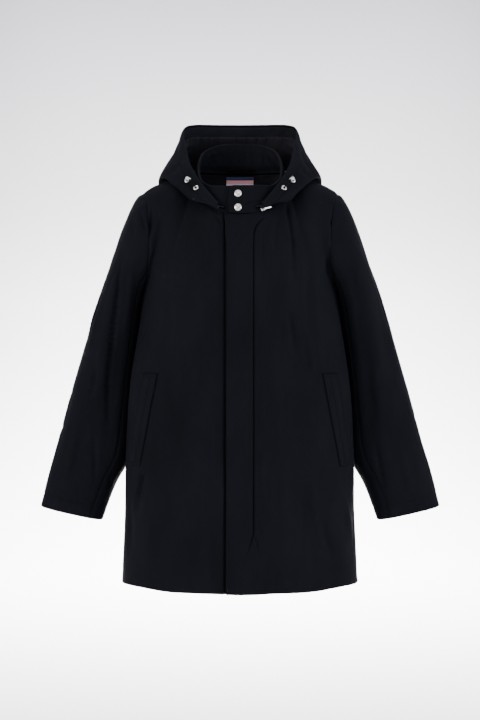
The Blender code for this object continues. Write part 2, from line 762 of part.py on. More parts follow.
def collar_skin(band, rows, out=0.0):
    """Rows of the collar's outer skin: row 0 is its seam and 1 its top edge."""
    band = np.asarray(band, float)
    angles = wrapped(band)
    low = neck_point(angles) + np.array([0.0, 0.0, COLLAR_GAP])
    high = neck_point(angles, "top")
    ahead = neck_point(wrapped(band + 0.5)) - neck_point(wrapped(band - 0.5))
    normals = np.cross(ahead, high - low)
    normals /= np.linalg.norm(normals, axis=1, keepdims=True)
    lap = np.where(band < COLLAR_LAP_END_DEG, collar_lap(low[:, 0]), 0.0)
    grid = []
    for share in rows:
        off = lap + COLLAR_BELLY * math.sin(math.pi * share) + out
        grid.append(low + (high - low) * share + normals * off[:, None])
    return np.stack(grid)


# Sewn pieces.


def top_gaps(grid):
    """Gaps along a panel's top edge: wide at the neck, where the collar stands, then narrow."""
    at_neck = np.abs(grid[-1, :, :1]) < NECK_HALF_WIDTH
    return np.where(at_neck, NECK_GAP, SHOULDER_GAP)


def make_fronts(cloth):
    """Left front over right front."""
    left = front_grid(1)
    left = shrunk(left, right=SEAM_GAP, top=top_gaps(left))
    add_wall("front_left", left, WALL, cloth)
    right = front_grid(-1)
    right = shrunk(right, right=SEAM_GAP, top=top_gaps(right))
    add_wall("front_right", right, WALL, cloth, flip=True)


def make_back(cloth):
    """The back, in one piece."""
    grid = back_grid()
    grid = shrunk(grid, left=SEAM_GAP, right=SEAM_GAP, top=top_gaps(grid))
    add_wall("back", grid, WALL, cloth, flip=True)


def make_sleeves(cloth):
    """Two-piece sleeves: the upper piece wraps round the outside, the under piece closes it."""
    front = armhole_degrees(False)
    back = armhole_degrees(True)[::-1]
    seam = SEAM_VERTEX
    upper_places = np.concatenate([front[seam:] - 360, back[1:-seam]])
    under_places = np.concatenate([back[-seam - 1:-1], front[: seam + 1]])
    upper = sleeve_grid(upper_places, (FRONT_SEAM_CUFF_DEG - 360, BACK_SEAM_CUFF_DEG))
    under = sleeve_grid(under_places, (BACK_SEAM_CUFF_DEG, FRONT_SEAM_CUFF_DEG))
    for part, grid in (("top", upper), ("under", under)):
        grid = shrunk(grid, left=SLEEVE_GAP, right=SLEEVE_GAP)
        add_wall(f"sleeve_{part}_left", grid, WALL, cloth, flip=True)
        add_wall(f"sleeve_{part}_right", mirrored(grid), WALL, cloth)


def make_collar(cloth):
    """The stand collar in one piece, its left end over its right end."""
    band = np.linspace(COLLAR_OVER_DEG, COLLAR_UNDER_DEG, COLLAR_STEPS + 1)
    grid = collar_skin(band, np.linspace(0, 1, COLLAR_ROWS + 1))
    add_wall("collar", grid, WALL, cloth)


def make_hood(cloth, lining):
    """Three outer panels, the facing inside the brim and the gathered lining below it."""
    cover, normals = body_cover()
    rows = np.linspace(0, 1, HOOD_ROWS + 1)
    side = HOOD_FRONT_DEG + (CENTRE_PANEL_DEG - HOOD_FRONT_DEG) * shares(HOOD_SIDE_STEPS, 0.01)
    grid = hood_grid(side, rows)
    grid = stand_clear(grid, cover, normals, HOOD_CLEAR)
    grid = shrunk(grid, right=HOOD_SEAM_GAP)
    add_wall("hood_side_left", grid, WALL, cloth)
    add_wall("hood_side_right", mirrored(grid), WALL, cloth, flip=True)
    centre = CENTRE_PANEL_DEG + 2 * (180 - CENTRE_PANEL_DEG) * shares(HOOD_CENTRE_STEPS, 0.02)
    grid = hood_grid(wrapped(centre), rows)
    grid = stand_clear(grid, cover, normals, HOOD_CLEAR)
    grid = shrunk(grid, left=HOOD_SEAM_GAP, right=HOOD_SEAM_GAP)
    add_wall("hood_centre", grid, WALL, cloth)
    side = side[side >= FACING_FIRST_DEG]
    band = np.concatenate([side[:-1], centre, 360 - side[:-1][::-1]])
    grid = hood_grid(wrapped(band), np.linspace(FACING_FROM, 1.0, FACING_ROWS + 1))
    inner = grid - skin_normals(grid) * (WALL + FACING_GAP)
    add_wall("hood_facing", inner, TRIM_WALL, cloth)
    count = GATHERS * 3
    band = np.linspace(LINING_FIRST_DEG, 360 - LINING_FIRST_DEG, count + 1)
    grid = hood_grid(wrapped(band), np.linspace(LINING_FROM, LINING_TO, FACING_ROWS + 1))
    wave = GATHER_DEPTH * (1 - np.cos(np.linspace(0, GATHERS, count + 1) * 2 * math.pi))
    deep = WALL + LINING_GAP + wave
    inner = grid - skin_normals(grid) * deep[None, :, None]
    add_wall("hood_lining", inner, TAPE_WALL, lining)


def pocket_grid(side):
    """The outer face of a slanted strip that lies on one front, drawn on the left side."""
    chest = lengths(half_section(CHEST_Z, False))[-1]
    grid = []
    folds = []
    for share in np.linspace(1, 0, POCKET_ROWS + 1):
        height = POCKET_TOP_Z + (POCKET_BOTTOM_Z - POCKET_TOP_Z) * share
        line = half_section(height, False)
        near = POCKET_TOP_ACROSS + (POCKET_BOTTOM_ACROSS - POCKET_TOP_ACROSS) * share
        across = near + POCKET_WIDTH * np.linspace(0, 1, POCKET_COLUMNS + 1)
        grid.append(at_length(line, across))
        folds.append(fold_rise(across * side * chest / lengths(line)[-1], height, BODY_FOLDS))
    grid = np.stack(grid)
    out = WALL + LAYER_GAP + np.maximum(np.stack(folds), 0)
    return grid + skin_normals(grid) * out[..., None]


def make_pockets(cloth):
    """A raised welt on each front."""
    add_wall("pocket_welt_left", pocket_grid(1), WELT_WALL, cloth)
    add_wall("pocket_welt_right", mirrored(pocket_grid(-1)), WELT_WALL, cloth, flip=True)


def make_neck_trim(ribbon, black):
    """The label on the back's inner face and the hanger loop on the collar's."""
    across = np.linspace(-LABEL_HALF, LABEL_HALF, LABEL_COLUMNS + 1) / lengths(TOP_BACK)[-1]
    ups = np.linspace(*LABEL_UPS, LABEL_ROWS + 1)
    grid = np.stack([climb_points(across, up, True) for up in ups])
    inner = grid - skin_normals(grid, -1.0) * (WALL + 2 * LAYER_GAP)
    add_wall("neck_label", inner, LABEL_WALL, ribbon, flip=True)
    band = np.linspace(180 - HANGER_HALF_DEG, 180 + HANGER_HALF_DEG, HANGER_STEPS + 1)
    bow = HANGER_BOW * np.sin(np.linspace(0, math.pi, HANGER_STEPS + 1)) ** 0.7
    grid = collar_skin(band, HANGER_SHARES)
    inner = grid - skin_normals(grid) * (WALL + LAYER_GAP + bow)[None, :, None]
    add_wall("hanger_loop", inner, TAPE_WALL, black)


# Hardware.


def surface_frame(make_point, u, v, du, dv, sign=1.0):
    """A point of a skin and its outward normal, from small steps along it."""
    place = make_point(u, v)
    along = make_point(u + du, v) - make_point(u - du, v)
    up = make_point(u, v + dv) - make_point(u, v - dv)
    normal = np.cross(along, up) * sign
    return place, normal / np.linalg.norm(normal)


def make_snaps(steel):
    """Two domed snap caps on the collar's lap."""
    dome = (
        (0.0, SNAP_HEIGHT),
        (0.55 * SNAP_RADIUS, 0.90 * SNAP_HEIGHT),
        (0.88 * SNAP_RADIUS, 0.55 * SNAP_HEIGHT),
        (SNAP_RADIUS, 0.15 * SNAP_HEIGHT),
        (SNAP_RADIUS, 0.0),
        (0.0, 0.0),
    )
    for name, share in zip(("snap_lower", "snap_upper"), SNAP_SHARES):
        place, normal = surface_frame(
            lambda a, s: collar_skin(np.array([a]), [s])[0, 0], SNAP_DEG, share, 1.0, 0.05
        )
        add_turned(name, dome, place + normal * SNAP_SEAT, normal, steel)


def make_eyelets(steel, black):
    """Eyelets in the hood's brim tunnel, and a cord loop with its metal lock on each side."""
    ring = (
        (EYELET_RADIUS, 0.6 * EYELET_HEIGHT),
        (EYELET_RADIUS, 0.0),
        (EYELET_HOLE, 0.0),
        (EYELET_HOLE, 0.6 * EYELET_HEIGHT),
        (0.5 * (EYELET_RADIUS + EYELET_HOLE), EYELET_HEIGHT),
        (EYELET_RADIUS, 0.6 * EYELET_HEIGHT),
    )
    barrel = (
        (LOCK_RADIUS, 0.5 * LOCK_LENGTH),
        (LOCK_RADIUS, -0.5 * LOCK_LENGTH),
        (LOCK_BORE, -0.5 * LOCK_LENGTH),
        (LOCK_BORE, 0.5 * LOCK_LENGTH),
        (LOCK_RADIUS, 0.5 * LOCK_LENGTH),
    )
    for side, name in ((1, "left"), (-1, "right")):
        mirror = np.array([side, 1.0, 1.0])
        ends = []
        for (angle, share), level in zip(EYELET_PLACES, ("lower", "upper")):
            place, normal = surface_frame(
                lambda a, s: hood_point(a, s)[0], angle, share, 1.0, 0.03
            )
            place = place * mirror
            normal = normal * mirror
            seat = place + normal * EYELET_SEAT
            add_turned(f"eyelet_{name}_{level}", ring, seat, normal, steel, 14)
            ends.append((place, normal))
        route = cord_route(ends)
        add_tube(f"cord_loop_{name}", route, CORD_RADIUS, black)
        middle = len(route) // 2 + LOCK_SHIFT
        axis = route[middle + 1] - route[middle - 1]
        add_turned(f"cord_lock_{name}", barrel, route[middle], axis, steel, 14)


def cord_route(ends):
    """The cord from one eyelet to the other, out and round in a flat loop."""
    (low, low_out), (high, high_out) = ends
    p0 = low + low_out * EYELET_SEAT
    p3 = high + high_out * EYELET_SEAT
    p1 = p0 + low_out * CORD_REACH
    p2 = p3 + high_out * CORD_REACH
    line = bezier(p0, p1, p2, p3, np.linspace(0, 1, 60))
    return at_length(line, np.linspace(0, lengths(line)[-1], CORD_POINTS))


def place_in(piece, collection):
    """Moves an object into one collection alone."""
    for old in list(piece.users_collection):
        old.objects.unlink(piece)
    collection.objects.link(piece)


def add_block(name, size, place, turn, material):
    """A box in the frame of the zip: along the zip, out from the cloth, and up."""
    bpy.ops.mesh.primitive_cube_add(size=1.0)
    piece = bpy.context.active_object
    piece.name = name
    piece.data.name = name
    for vertex in piece.data.vertices:
        vertex.co = Vector([vertex.co[k] * size[k] for k in range(3)])
    piece.data.materials.append(material)
    place_in(piece, PARKA)
    piece.matrix_world = Matrix.Translation(Vector(place)) @ turn
    return piece


def combine(body, other, operation):
    """Unites a body with another one, or cuts that other one from it."""
    boolean = body.modifiers.new(operation.title(), "BOOLEAN")
    boolean.operation = operation
    boolean.object = other
    boolean.solver = "EXACT"
    other.hide_render = True
    other.display_type = "WIRE"
    place_in(other, CUTTERS)


def add_pin(name, radius, height, place, turn, material, steps):
    """A short cylinder along the local Z of the zip."""
    bpy.ops.mesh.primitive_cylinder_add(vertices=steps, radius=radius, depth=height)
    piece = bpy.context.active_object
    piece.name = name
    piece.data.name = name
    piece.data.materials.append(material)
    place_in(piece, PARKA)
    piece.matrix_world = Matrix.Translation(Vector(place)) @ turn
    return piece


def make_zip(cloth, steel):
    """The hood's zip: its tape round the collar, the slider and the pull on its bail."""
    band = np.linspace(TAPE_FIRST_DEG, 360 - TAPE_FIRST_DEG, TAPE_STEPS + 1)
    tape = collar_skin(band, TAPE_SHARES, LAYER_GAP + TAPE_WALL)
    add_wall("hood_zip_tape", tape, TAPE_WALL, cloth)

    place, outward = surface_frame(
        lambda a, s: collar_skin(np.array([a]), [s])[0, 0], SLIDER_DEG, SLIDER_SHARE, 1.0, 0.03
    )
    along = np.array(SLIDER_HEADING)
    along = along - outward * np.dot(along, outward)
    along /= np.linalg.norm(along)
    up = np.cross(outward, along)
    turn = Matrix([[along[k], -outward[k], up[k]] for k in range(3)]).to_4x4()
    length, depth, height = SLIDER_SIZE
    seat = place + outward * (2 * LAYER_GAP + TAPE_WALL + 0.5 * depth)
    root = seat + along * 0.25 * length
    post = root + outward * BAIL_REACH

    slider = add_block("hood_zip_slider", SLIDER_SIZE, seat, turn, steel)
    arm_size = (BAIL_WIDTH, BAIL_REACH + 0.5 * depth + BAIL_LAP, BAIL_ARM)
    for number in (0, 1):
        lift = up * (number - 0.5) * (height - BAIL_ARM)
        middle = root + outward * 0.5 * BAIL_REACH + lift
        combine(slider, add_block(f"bail_arm_{number}", arm_size, middle, turn, steel), "UNION")
    pin = add_pin("bail_post", BAIL_POST, height - BAIL_INSET, post, turn, steel, 12)
    combine(slider, pin, "UNION")

    pull = add_pin("hood_zip_pull", PULL_EYE, PULL_HEIGHT, post, turn, steel, 20)
    tab_size = (PULL_LENGTH, PULL_THICKNESS, PULL_HEIGHT)
    reach = PULL_HOLE + 0.5 * PULL_LENGTH + BAIL_INSET
    combine(pull, add_block("pull_tab", tab_size, post + along * reach, turn, steel), "UNION")
    hole = add_pin("pull_hole", PULL_HOLE, 2 * PULL_HEIGHT, post, turn, steel, 16)
    combine(pull, hole, "DIFFERENCE")


def main():
    """The whole parka."""
    cloth = fabric("Shell cloth", CLOTH)
    lining = fabric("Lining cloth", LINING)
    steel = fabric("Silver metal", STEEL, 0.3, 1.0)
    black = fabric("Black elastic", BLACK, 0.7)
    ribbon = fabric("Label ribbon", RIBBON, 0.7)
    make_fronts(cloth)
    make_back(cloth)
    make_sleeves(cloth)
    make_collar(cloth)
    make_hood(cloth, lining)
    make_pockets(cloth)
    make_neck_trim(ribbon, black)
    make_snaps(steel)
    make_eyelets(steel, black)
    make_zip(cloth, steel)


for old_object in list(bpy.data.objects):
    bpy.data.objects.remove(old_object, do_unlink=True)
PARKA = bpy.data.collections.new("Parka")
CUTTERS = bpy.data.collections.new("Cutters")
bpy.context.scene.collection.children.link(PARKA)
bpy.context.scene.collection.children.link(CUTTERS)
main()
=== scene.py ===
"""The looks of a hooded parka: padded shell cloth, sewn seams, creases and silver trims.

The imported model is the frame. Each sewn solid is replaced by a fine shell on the same
surface, which carries the folds, seam rolls, puckers and stitches. Metres, +Z up, the
front faces -Y and the wearer's left is +X.
"""

import logging
import math
from collections.abc import Callable, Sequence
from dataclasses import dataclass
from enum import Enum
from functools import cached_property

import bpy
import numpy as np
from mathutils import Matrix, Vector
from mathutils.bvhtree import BVHTree
from mathutils.kdtree import KDTree


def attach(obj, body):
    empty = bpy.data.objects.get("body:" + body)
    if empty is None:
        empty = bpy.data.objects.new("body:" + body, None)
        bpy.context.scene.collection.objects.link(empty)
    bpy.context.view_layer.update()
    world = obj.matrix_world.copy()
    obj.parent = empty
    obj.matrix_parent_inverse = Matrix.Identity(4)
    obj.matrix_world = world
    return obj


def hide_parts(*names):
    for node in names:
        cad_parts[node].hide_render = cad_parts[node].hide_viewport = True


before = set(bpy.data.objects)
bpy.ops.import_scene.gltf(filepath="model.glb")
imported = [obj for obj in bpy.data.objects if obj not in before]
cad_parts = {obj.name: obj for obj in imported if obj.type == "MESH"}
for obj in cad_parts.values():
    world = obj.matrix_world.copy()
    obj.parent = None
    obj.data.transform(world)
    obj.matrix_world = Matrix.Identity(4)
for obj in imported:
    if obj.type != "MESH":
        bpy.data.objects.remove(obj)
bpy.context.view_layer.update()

LOG = logging.getLogger("parka")
GARMENT = "garment"
Array = np.ndarray
Piece = bpy.types.Object
Material = bpy.types.Material
Socket = bpy.types.NodeSocket
Triple = tuple[float, float, float]
Pair = tuple[float, float]
Line = Sequence[Pair]


class Side(Enum):
    """A side of the wearer, with its sign along X."""

    LEFT = 1.0
    RIGHT = -1.0


class Face(Enum):
    """The side from which a crease is drawn: its two drawing axes and its outward axis."""

    FRONT = (0, 2, 1, -1.0)
    BACK = (0, 2, 1, 1.0)
    LEFT = (1, 2, 0, 1.0)
    RIGHT = (1, 2, 0, -1.0)


class Edge(Enum):
    """An edge of a panel's grid."""

    LEFT = "left"
    RIGHT = "right"
    BOTTOM = "bottom"
    TOP = "top"


# Curves and noise.


def smooth(knots: Array, values: Array, at: Array) -> Array:
    """Reads a smooth curve through knots.

    Args:
        knots: Rising places.
        values: A value, or a row of values, for each knot.
        at: The places to read.

    Returns:
        The values at those places.
    """
    knots = np.asarray(knots, float)
    values = np.asarray(values, float)
    at = np.asarray(at, float)
    slopes = np.gradient(values, knots, axis=0)
    low = np.clip(np.searchsorted(knots, at, side="right") - 1, 0, len(knots) - 2)
    span = knots[low + 1] - knots[low]
    t = np.clip((at - knots[low]) / span, 0.0, 1.0)
    if values.ndim > 1:
        span = span[..., None]
        t = t[..., None]
    start = (2 * t**3 - 3 * t**2 + 1) * values[low]
    leave = (t**3 - 2 * t**2 + t) * span * slopes[low]
    end = (3 * t**2 - 2 * t**3) * values[low + 1]
    arrive = (t**3 - t**2) * span * slopes[low + 1]
    return start + leave + end + arrive


@dataclass(frozen=True)
class Table:
    """A short table with named columns, read as smooth curves down its first column."""

    names: str
    rows: tuple[tuple[float, ...], ...]

    def read(self, at: Array, wanted: Sequence[str] | None = None) -> Array:
        """Reads some columns, or all but the first.

        Args:
            at: Places in the first column.
            wanted: Names of the columns to read.

        Returns:
            One row of values for each place.
        """
        names = self.names.split()
        table = np.array(self.rows, float)
        picks = [names.index(name) for name in (wanted or names[1:])]
        order = np.argsort(table[:, 0])
        return smooth(table[order, 0], table[order][:, picks], np.asarray(at, float))


def ease(value: Array) -> Array:
    """Turns 0 to 1 into 0 to 1 with soft ends."""
    value = np.clip(value, 0.0, 1.0)
    return value * value * (3 - 2 * value)


def bell(away: Array, width: float = 1.0) -> Array:
    """A bell curve: 1 in the middle, and about a third at its width."""
    return np.exp(-((away / width) ** 2))


def bezier(p0: Array, p1: Array, p2: Array, p3: Array, t: float) -> Array:
    """Points at one share of the way along cubic curves."""
    s = 1 - t
    return s**3 * p0 + 3 * s * s * t * p1 + 3 * s * t * t * p2 + t**3 * p3


def lengths(points: Array) -> Array:
    """The distance along a line at each of its points."""
    steps = np.linalg.norm(np.diff(points, axis=0), axis=1)
    return np.concatenate([[0.0], np.cumsum(steps)])


def at_length(points: Array, wanted: Array) -> Array:
    """Points at the given distances along a line."""
    along = lengths(points)
    return np.stack([np.interp(wanted, along, points[:, k]) for k in range(3)], axis=1)


def unit(vectors: Array) -> Array:
    """Vectors scaled to a length of one."""
    return vectors / np.maximum(np.linalg.norm(vectors, axis=-1, keepdims=True), 1e-12)


def wrapped(degrees: Array) -> Array:
    """Signed angles, between minus and plus half a turn."""
    return (np.asarray(degrees, float) + 180) % 360 - 180


def mirrored(points: Array) -> Array:
    """The same points on the other side of the centre plane."""
    return points * np.array([-1.0, 1.0, 1.0])


def noise(u: Array, v: Array, seed: int) -> Array:
    """Smooth value noise from -1 to 1, one lump for each unit of u and v.

    Args:
        u: First coordinate of each place.
        v: Second coordinate of each place.
        seed: Which noise it is.

    Returns:
        A value for each place.
    """
    size = 64
    lattice = np.random.default_rng(seed).uniform(-1, 1, (size, size))
    iu, iv = np.floor(u).astype(int), np.floor(v).astype(int)
    fu, fv = ease(u - iu), ease(v - iv)
    a = lattice[iu % size, iv % size]
    b = lattice[(iu + 1) % size, iv % size]
    c = lattice[iu % size, (iv + 1) % size]
    d = lattice[(iu + 1) % size, (iv + 1) % size]
    return (a * (1 - fu) + b * fu) * (1 - fv) + (c * (1 - fu) + d * fu) * fv


# The cut: the surfaces that the solids lie on, with sleeves filled out to meet the sides.


@dataclass(frozen=True)
class BodyCut:
    """The body's outer surface, from the hem to the neck and shoulder seams."""

    chest_z: float = -0.252
    hem_z: float = -0.871
    hem_half_width: float = 0.248
    hem_droop: float = 0.0045
    shoulder_deg: float = 92.0
    shoulder_tip: Triple = (0.2090, 0.0030, -0.0455)
    shoulder_crest: Triple = (0.1550, 0.0010, -0.0105)
    fly_edge: float = -0.025
    fly_stitch: float = 0.030
    fly_rise: float = 0.0046
    fly_fade: float = 0.032
    underlap: float = 0.022
    sections: Table = Table(
        "height half_width front_y side_y back_y squareness",
        (
            (-0.252, 0.2050, -0.1250, 0.0000, 0.128, 2.20),
            (-0.300, 0.2100, -0.1265, -0.0120, 0.127, 2.25),
            (-0.360, 0.2190, -0.1270, -0.0240, 0.125, 2.30),
            (-0.440, 0.2290, -0.1250, -0.0320, 0.121, 2.35),
            (-0.594, 0.2385, -0.1190, -0.0320, 0.117, 2.35),
            (-0.727, 0.2415, -0.1140, -0.0250, 0.114, 2.30),
            (-0.800, 0.2450, -0.1110, -0.0200, 0.112, 2.30),
            (-0.871, 0.2480, -0.1090, -0.0160, 0.111, 2.30),
        ),
    )
    neck: Table = Table(
        "angle seam_x seam_y seam_z top_x top_y top_z",
        (
            (0, 0.0000, -0.112, -0.1030, 0.0000, -0.100, -0.0445),
            (20, 0.0360, -0.107, -0.0985, 0.0345, -0.095, -0.0435),
            (40, 0.0660, -0.088, -0.0810, 0.0640, -0.078, -0.0400),
            (60, 0.0860, -0.056, -0.0520, 0.0835, -0.050, -0.0240),
            (80, 0.0940, -0.019, -0.0215, 0.0905, -0.016, 0.0020),
            (100, 0.0940, 0.014, -0.0050, 0.0890, 0.015, 0.0270),
            (120, 0.0850, 0.042, 0.0020, 0.0800, 0.043, 0.0470),
            (140, 0.0660, 0.063, 0.0040, 0.0620, 0.065, 0.0600),
            (160, 0.0360, 0.075, 0.0040, 0.0340, 0.078, 0.0670),
            (180, 0.0000, 0.079, 0.0040, 0.0000, 0.082, 0.0690),
        ),
    )
    front_climb: Table = Table(
        "share low_x low_y low_z high_x high_y high_z",
        (
            (0.00, 0.000, -0.002, 0.060, 0.000, -0.003, -0.045),
            (0.30, -0.008, -0.006, 0.080, 0.000, -0.026, -0.044),
            (0.45, -0.011, -0.008, 0.088, 0.000, -0.042, -0.040),
            (0.55, -0.014, -0.010, 0.088, 0.004, -0.050, -0.032),
            (0.65, -0.022, -0.016, 0.082, -0.006, -0.070, -0.012),
            (0.75, -0.030, -0.024, 0.075, -0.015, -0.088, 0.000),
            (0.88, -0.032, -0.050, 0.052, -0.023, -0.093, -0.001),
            (1.00, -0.030, -0.110, 0.017, -0.020, -0.080, -0.003),
        ),
    )
    back_climb: Table = Table(
        "share low_x low_y low_z high_x high_y high_z",
        (
            (0.00, 0.000, 0.004, 0.080, 0.000, 0.024, -0.050),
            (0.30, -0.006, 0.008, 0.080, 0.000, 0.042, -0.036),
            (0.55, -0.014, 0.014, 0.080, -0.004, 0.090, -0.010),
            (0.75, -0.030, 0.028, 0.075, -0.015, 0.103, 0.000),
            (0.88, -0.033, 0.056, 0.055, -0.020, 0.102, -0.001),
            (1.00, -0.026, 0.118, 0.020, -0.016, 0.088, -0.003),
        ),
    )

    def neck_point(self, degrees: Array, edge: str = "seam") -> Array:
        """Points of the collar's seam or top edge.

        Args:
            degrees: Signed angles from the front, minus on the wearer's right.
            edge: "seam" or "top".

        Returns:
            A point for each angle.
        """
        degrees = np.asarray(degrees, float)
        points = self.neck.read(np.abs(degrees), [f"{edge}_{axis}" for axis in "xyz"])
        points[..., 0] = np.abs(points[..., 0]) * np.sign(degrees)
        return points

    def top_line(self, back: bool) -> Array:
        """The neck seam from its middle to the shoulder, then the shoulder seam."""
        first = 180.0 if back else 0.0
        neck = self.neck_point(np.linspace(first, self.shoulder_deg, 80))
        inner = neck[-1]
        crest, tip = np.array(self.shoulder_crest), np.array(self.shoulder_tip)
        t = np.linspace(0, 1, 80)[1:, None]
        return np.concatenate([neck, (1 - t) ** 2 * inner + 2 * t * (1 - t) * crest + t * t * tip])

    @cached_property
    def top_lines(self) -> tuple[Array, Array]:
        """The top lines of the front and of the back."""
        return self.top_line(False), self.top_line(True)

    def section(self, height: float, back: bool) -> Array:
        """The fine half-section at one height, from the middle to the side seam."""
        wide, front_y, side_y, back_y, power = self.sections.read(np.array([height]))[0]
        turn = np.linspace(0, math.pi / 2, 160)
        x = wide * np.sin(turn) ** (2 / power)
        far_y = back_y if back else front_y
        y = side_y + (far_y - side_y) * np.cos(turn) ** (2 / power)
        return np.stack([x, y, np.full_like(x, height)], axis=1)

    def section_points(self, height: float, across: Array, back: bool) -> Array:
        """Points at signed shares across a section: 0 is the middle and 1 the side seam."""
        line = self.section(height, back)
        points = at_length(line, np.abs(across) * lengths(line)[-1])
        points[:, 0] *= np.sign(across) + (across == 0)
        return points

    def climb_points(self, across: Array, up: float, back: bool) -> Array:
        """Points between the chest line (up = 0) and the neck and shoulder seams (up = 1)."""
        chest = self.section_points(self.chest_z, across, back)
        line = self.top_lines[int(back)]
        top = at_length(line, np.abs(across) * lengths(line)[-1])
        side = np.where(across < 0, -1.0, 1.0)
        top[:, 0] *= side
        handles = (self.back_climb if back else self.front_climb).read(np.abs(across))
        handles[:, [0, 3]] *= side[:, None]
        return bezier(chest, chest + handles[:, :3], top + handles[:, 3:], top, up)

    def skin(self, across: Array, low_rows: int, ups: Array, back: bool) -> Array:
        """Rows of the outer surface from the hem up to the neck and shoulder seams."""
        heights = np.linspace(self.hem_z, self.chest_z, low_rows + 1)[:-1]
        low = [self.section_points(z, across, back) for z in heights]
        high = [self.climb_points(across, up, back) for up in ups]
        return np.stack(low + high)

    @cached_property
    def chest_half(self) -> float:
        """The distance across the front from its middle to the side seam, at the chest."""
        return lengths(self.section(self.chest_z, False))[-1]

    def fly_raise(self, across_m: Array) -> Array:
        """How far the lapping left front stands off the right one near the centre line."""
        return self.fly_rise * (1 - ease((across_m - self.fly_stitch) / self.fly_fade))


BODY = BodyCut()


@dataclass(frozen=True)
class SleeveCut:
    """The left sleeve's outer surface, from the armhole to the cuff.

    Degrees run round it: 0 is the outer side, 90 the back, 180 the inner side.
    """

    squareness: float = 2.40
    cap_arrive: float = 0.33
    front_seam_cuff_deg: float = 236.0
    back_seam_cuff_deg: float = 124.0
    rings: Table = Table(
        "along inner_x inner_z outer_x outer_z middle_y half_depth",
        (
            (0.22, 0.2085, -0.306, 0.2990, -0.272, 0.022, 0.080),
            (0.42, 0.2188, -0.418, 0.3362, -0.388, 0.030, 0.078),
            (0.60, 0.2255, -0.525, 0.3698, -0.500, 0.032, 0.070),
            (0.72, 0.2330, -0.600, 0.3875, -0.568, 0.026, 0.062),
            (0.85, 0.2640, -0.662, 0.4040, -0.630, 0.012, 0.050),
            (1.00, 0.2895, -0.734, 0.4215, -0.704, -0.004, 0.036),
        ),
    )
    cap_leave: tuple[tuple[float, float, float, float], ...] = (
        (0.50, 0.0, -0.85, 0.30),
        (0.86, 0.0, -0.48, 0.30),
        (0.82, 0.0, -0.57, 0.15),
    )

    @property
    def first(self) -> float:
        """The share of the length at which the cap ends."""
        return self.rings.rows[0][0]

    @cached_property
    def armhole_lines(self) -> tuple[Array, Array]:
        """The armhole edges of the front and back panels, from the armpit up."""
        edge = np.array([1.0])
        ups = np.linspace(0, 1, 60)
        return tuple(
            np.concatenate([BODY.climb_points(edge, up, back) for up in ups])
            for back in (False, True)
        )

    def armhole_point(self, degrees: Array) -> Array:
        """Points of the armhole: 0 is the top, 90 the back, 180 the armpit."""
        degrees = np.asarray(degrees, float) % 360
        back = degrees <= 180
        share = np.where(back, 1 - degrees / 180, (degrees - 180) / 180)
        front_line, back_line = self.armhole_lines
        front = at_length(front_line, share * lengths(front_line)[-1])
        rear = at_length(back_line, share * lengths(back_line)[-1])
        return np.where(back[:, None], rear, front)

    def ring(self, along: float, degrees: Array) -> Array:
        """Points round the sleeve past the cap."""
        inner_x, inner_z, outer_x, outer_z, middle_y, half_depth = self.rings.read([along])[0]
        turn = np.radians(degrees)
        middle = np.array([(inner_x + outer_x) / 2, middle_y, (inner_z + outer_z) / 2])
        reach = np.array([(outer_x - inner_x) / 2, 0.0, (outer_z - inner_z) / 2])
        depth = np.array([0.0, half_depth, 0.0])
        power = 2 / self.squareness
        across = np.sign(np.cos(turn)) * np.abs(np.cos(turn)) ** power
        deep = np.sign(np.sin(turn)) * np.abs(np.sin(turn)) ** power
        return middle + across[:, None] * reach + deep[:, None] * depth

    def cap(self, share: float, degrees: Array) -> Array:
        """Points of the cap, between the armhole (0) and the first full ring (1)."""
        ring = self.ring(self.first, degrees)
        start = self.armhole_point(degrees)
        leave = smooth((-1, 0, 1), self.cap_leave, np.cos(np.radians(degrees)))
        arrive = unit(self.ring(self.first + 0.02, degrees) - ring)
        reach = np.linalg.norm(ring - start, axis=1, keepdims=True)
        p1 = start + unit(leave[:, :3]) * reach * leave[:, 3:]
        p2 = ring - arrive * reach * self.cap_arrive
        return bezier(start, p1, p2, ring, share)

    def skin(self, start: Pair, end: Pair, shares: Array,
             caps: Array, rows: int) -> Array:
        """The surface between two seams, from the cuff (row 0) up to the armhole.

        Args:
            start: Degrees of the first seam at the armhole and at the cuff.
            end: Degrees of the last seam at the armhole and at the cuff.
            shares: Places of the columns between the seams.
            caps: Places of the rows down the cap.
            rows: Steps from the cap to the cuff.

        Returns:
            A grid of points.
        """
        cap = [(self.first * t, True) for t in caps[:-1]]
        rest = [(along, False) for along in np.linspace(self.first, 1.0, rows + 1)]
        whole = np.arange(0, 360, 10.0)
        grid = []
        for along, in_cap in cap + rest:
            first = start[0] + (start[1] - start[0]) * along
            last = end[0] + (end[1] - end[0]) * along
            degrees = first + (last - first) * shares
            if in_cap:
                points = self.cap(along / self.first, degrees)
                middle = self.cap(along / self.first, whole).mean(axis=0)
            else:
                points = self.ring(along, degrees)
                middle = self.ring(along, whole).mean(axis=0)
            rise = sum(fold.rise(degrees, along) for fold in SLEEVE_FOLDS)
            grid.append(points + unit(points - middle) * rise[:, None])
        return np.stack(grid[::-1])


SLEEVE = SleeveCut()


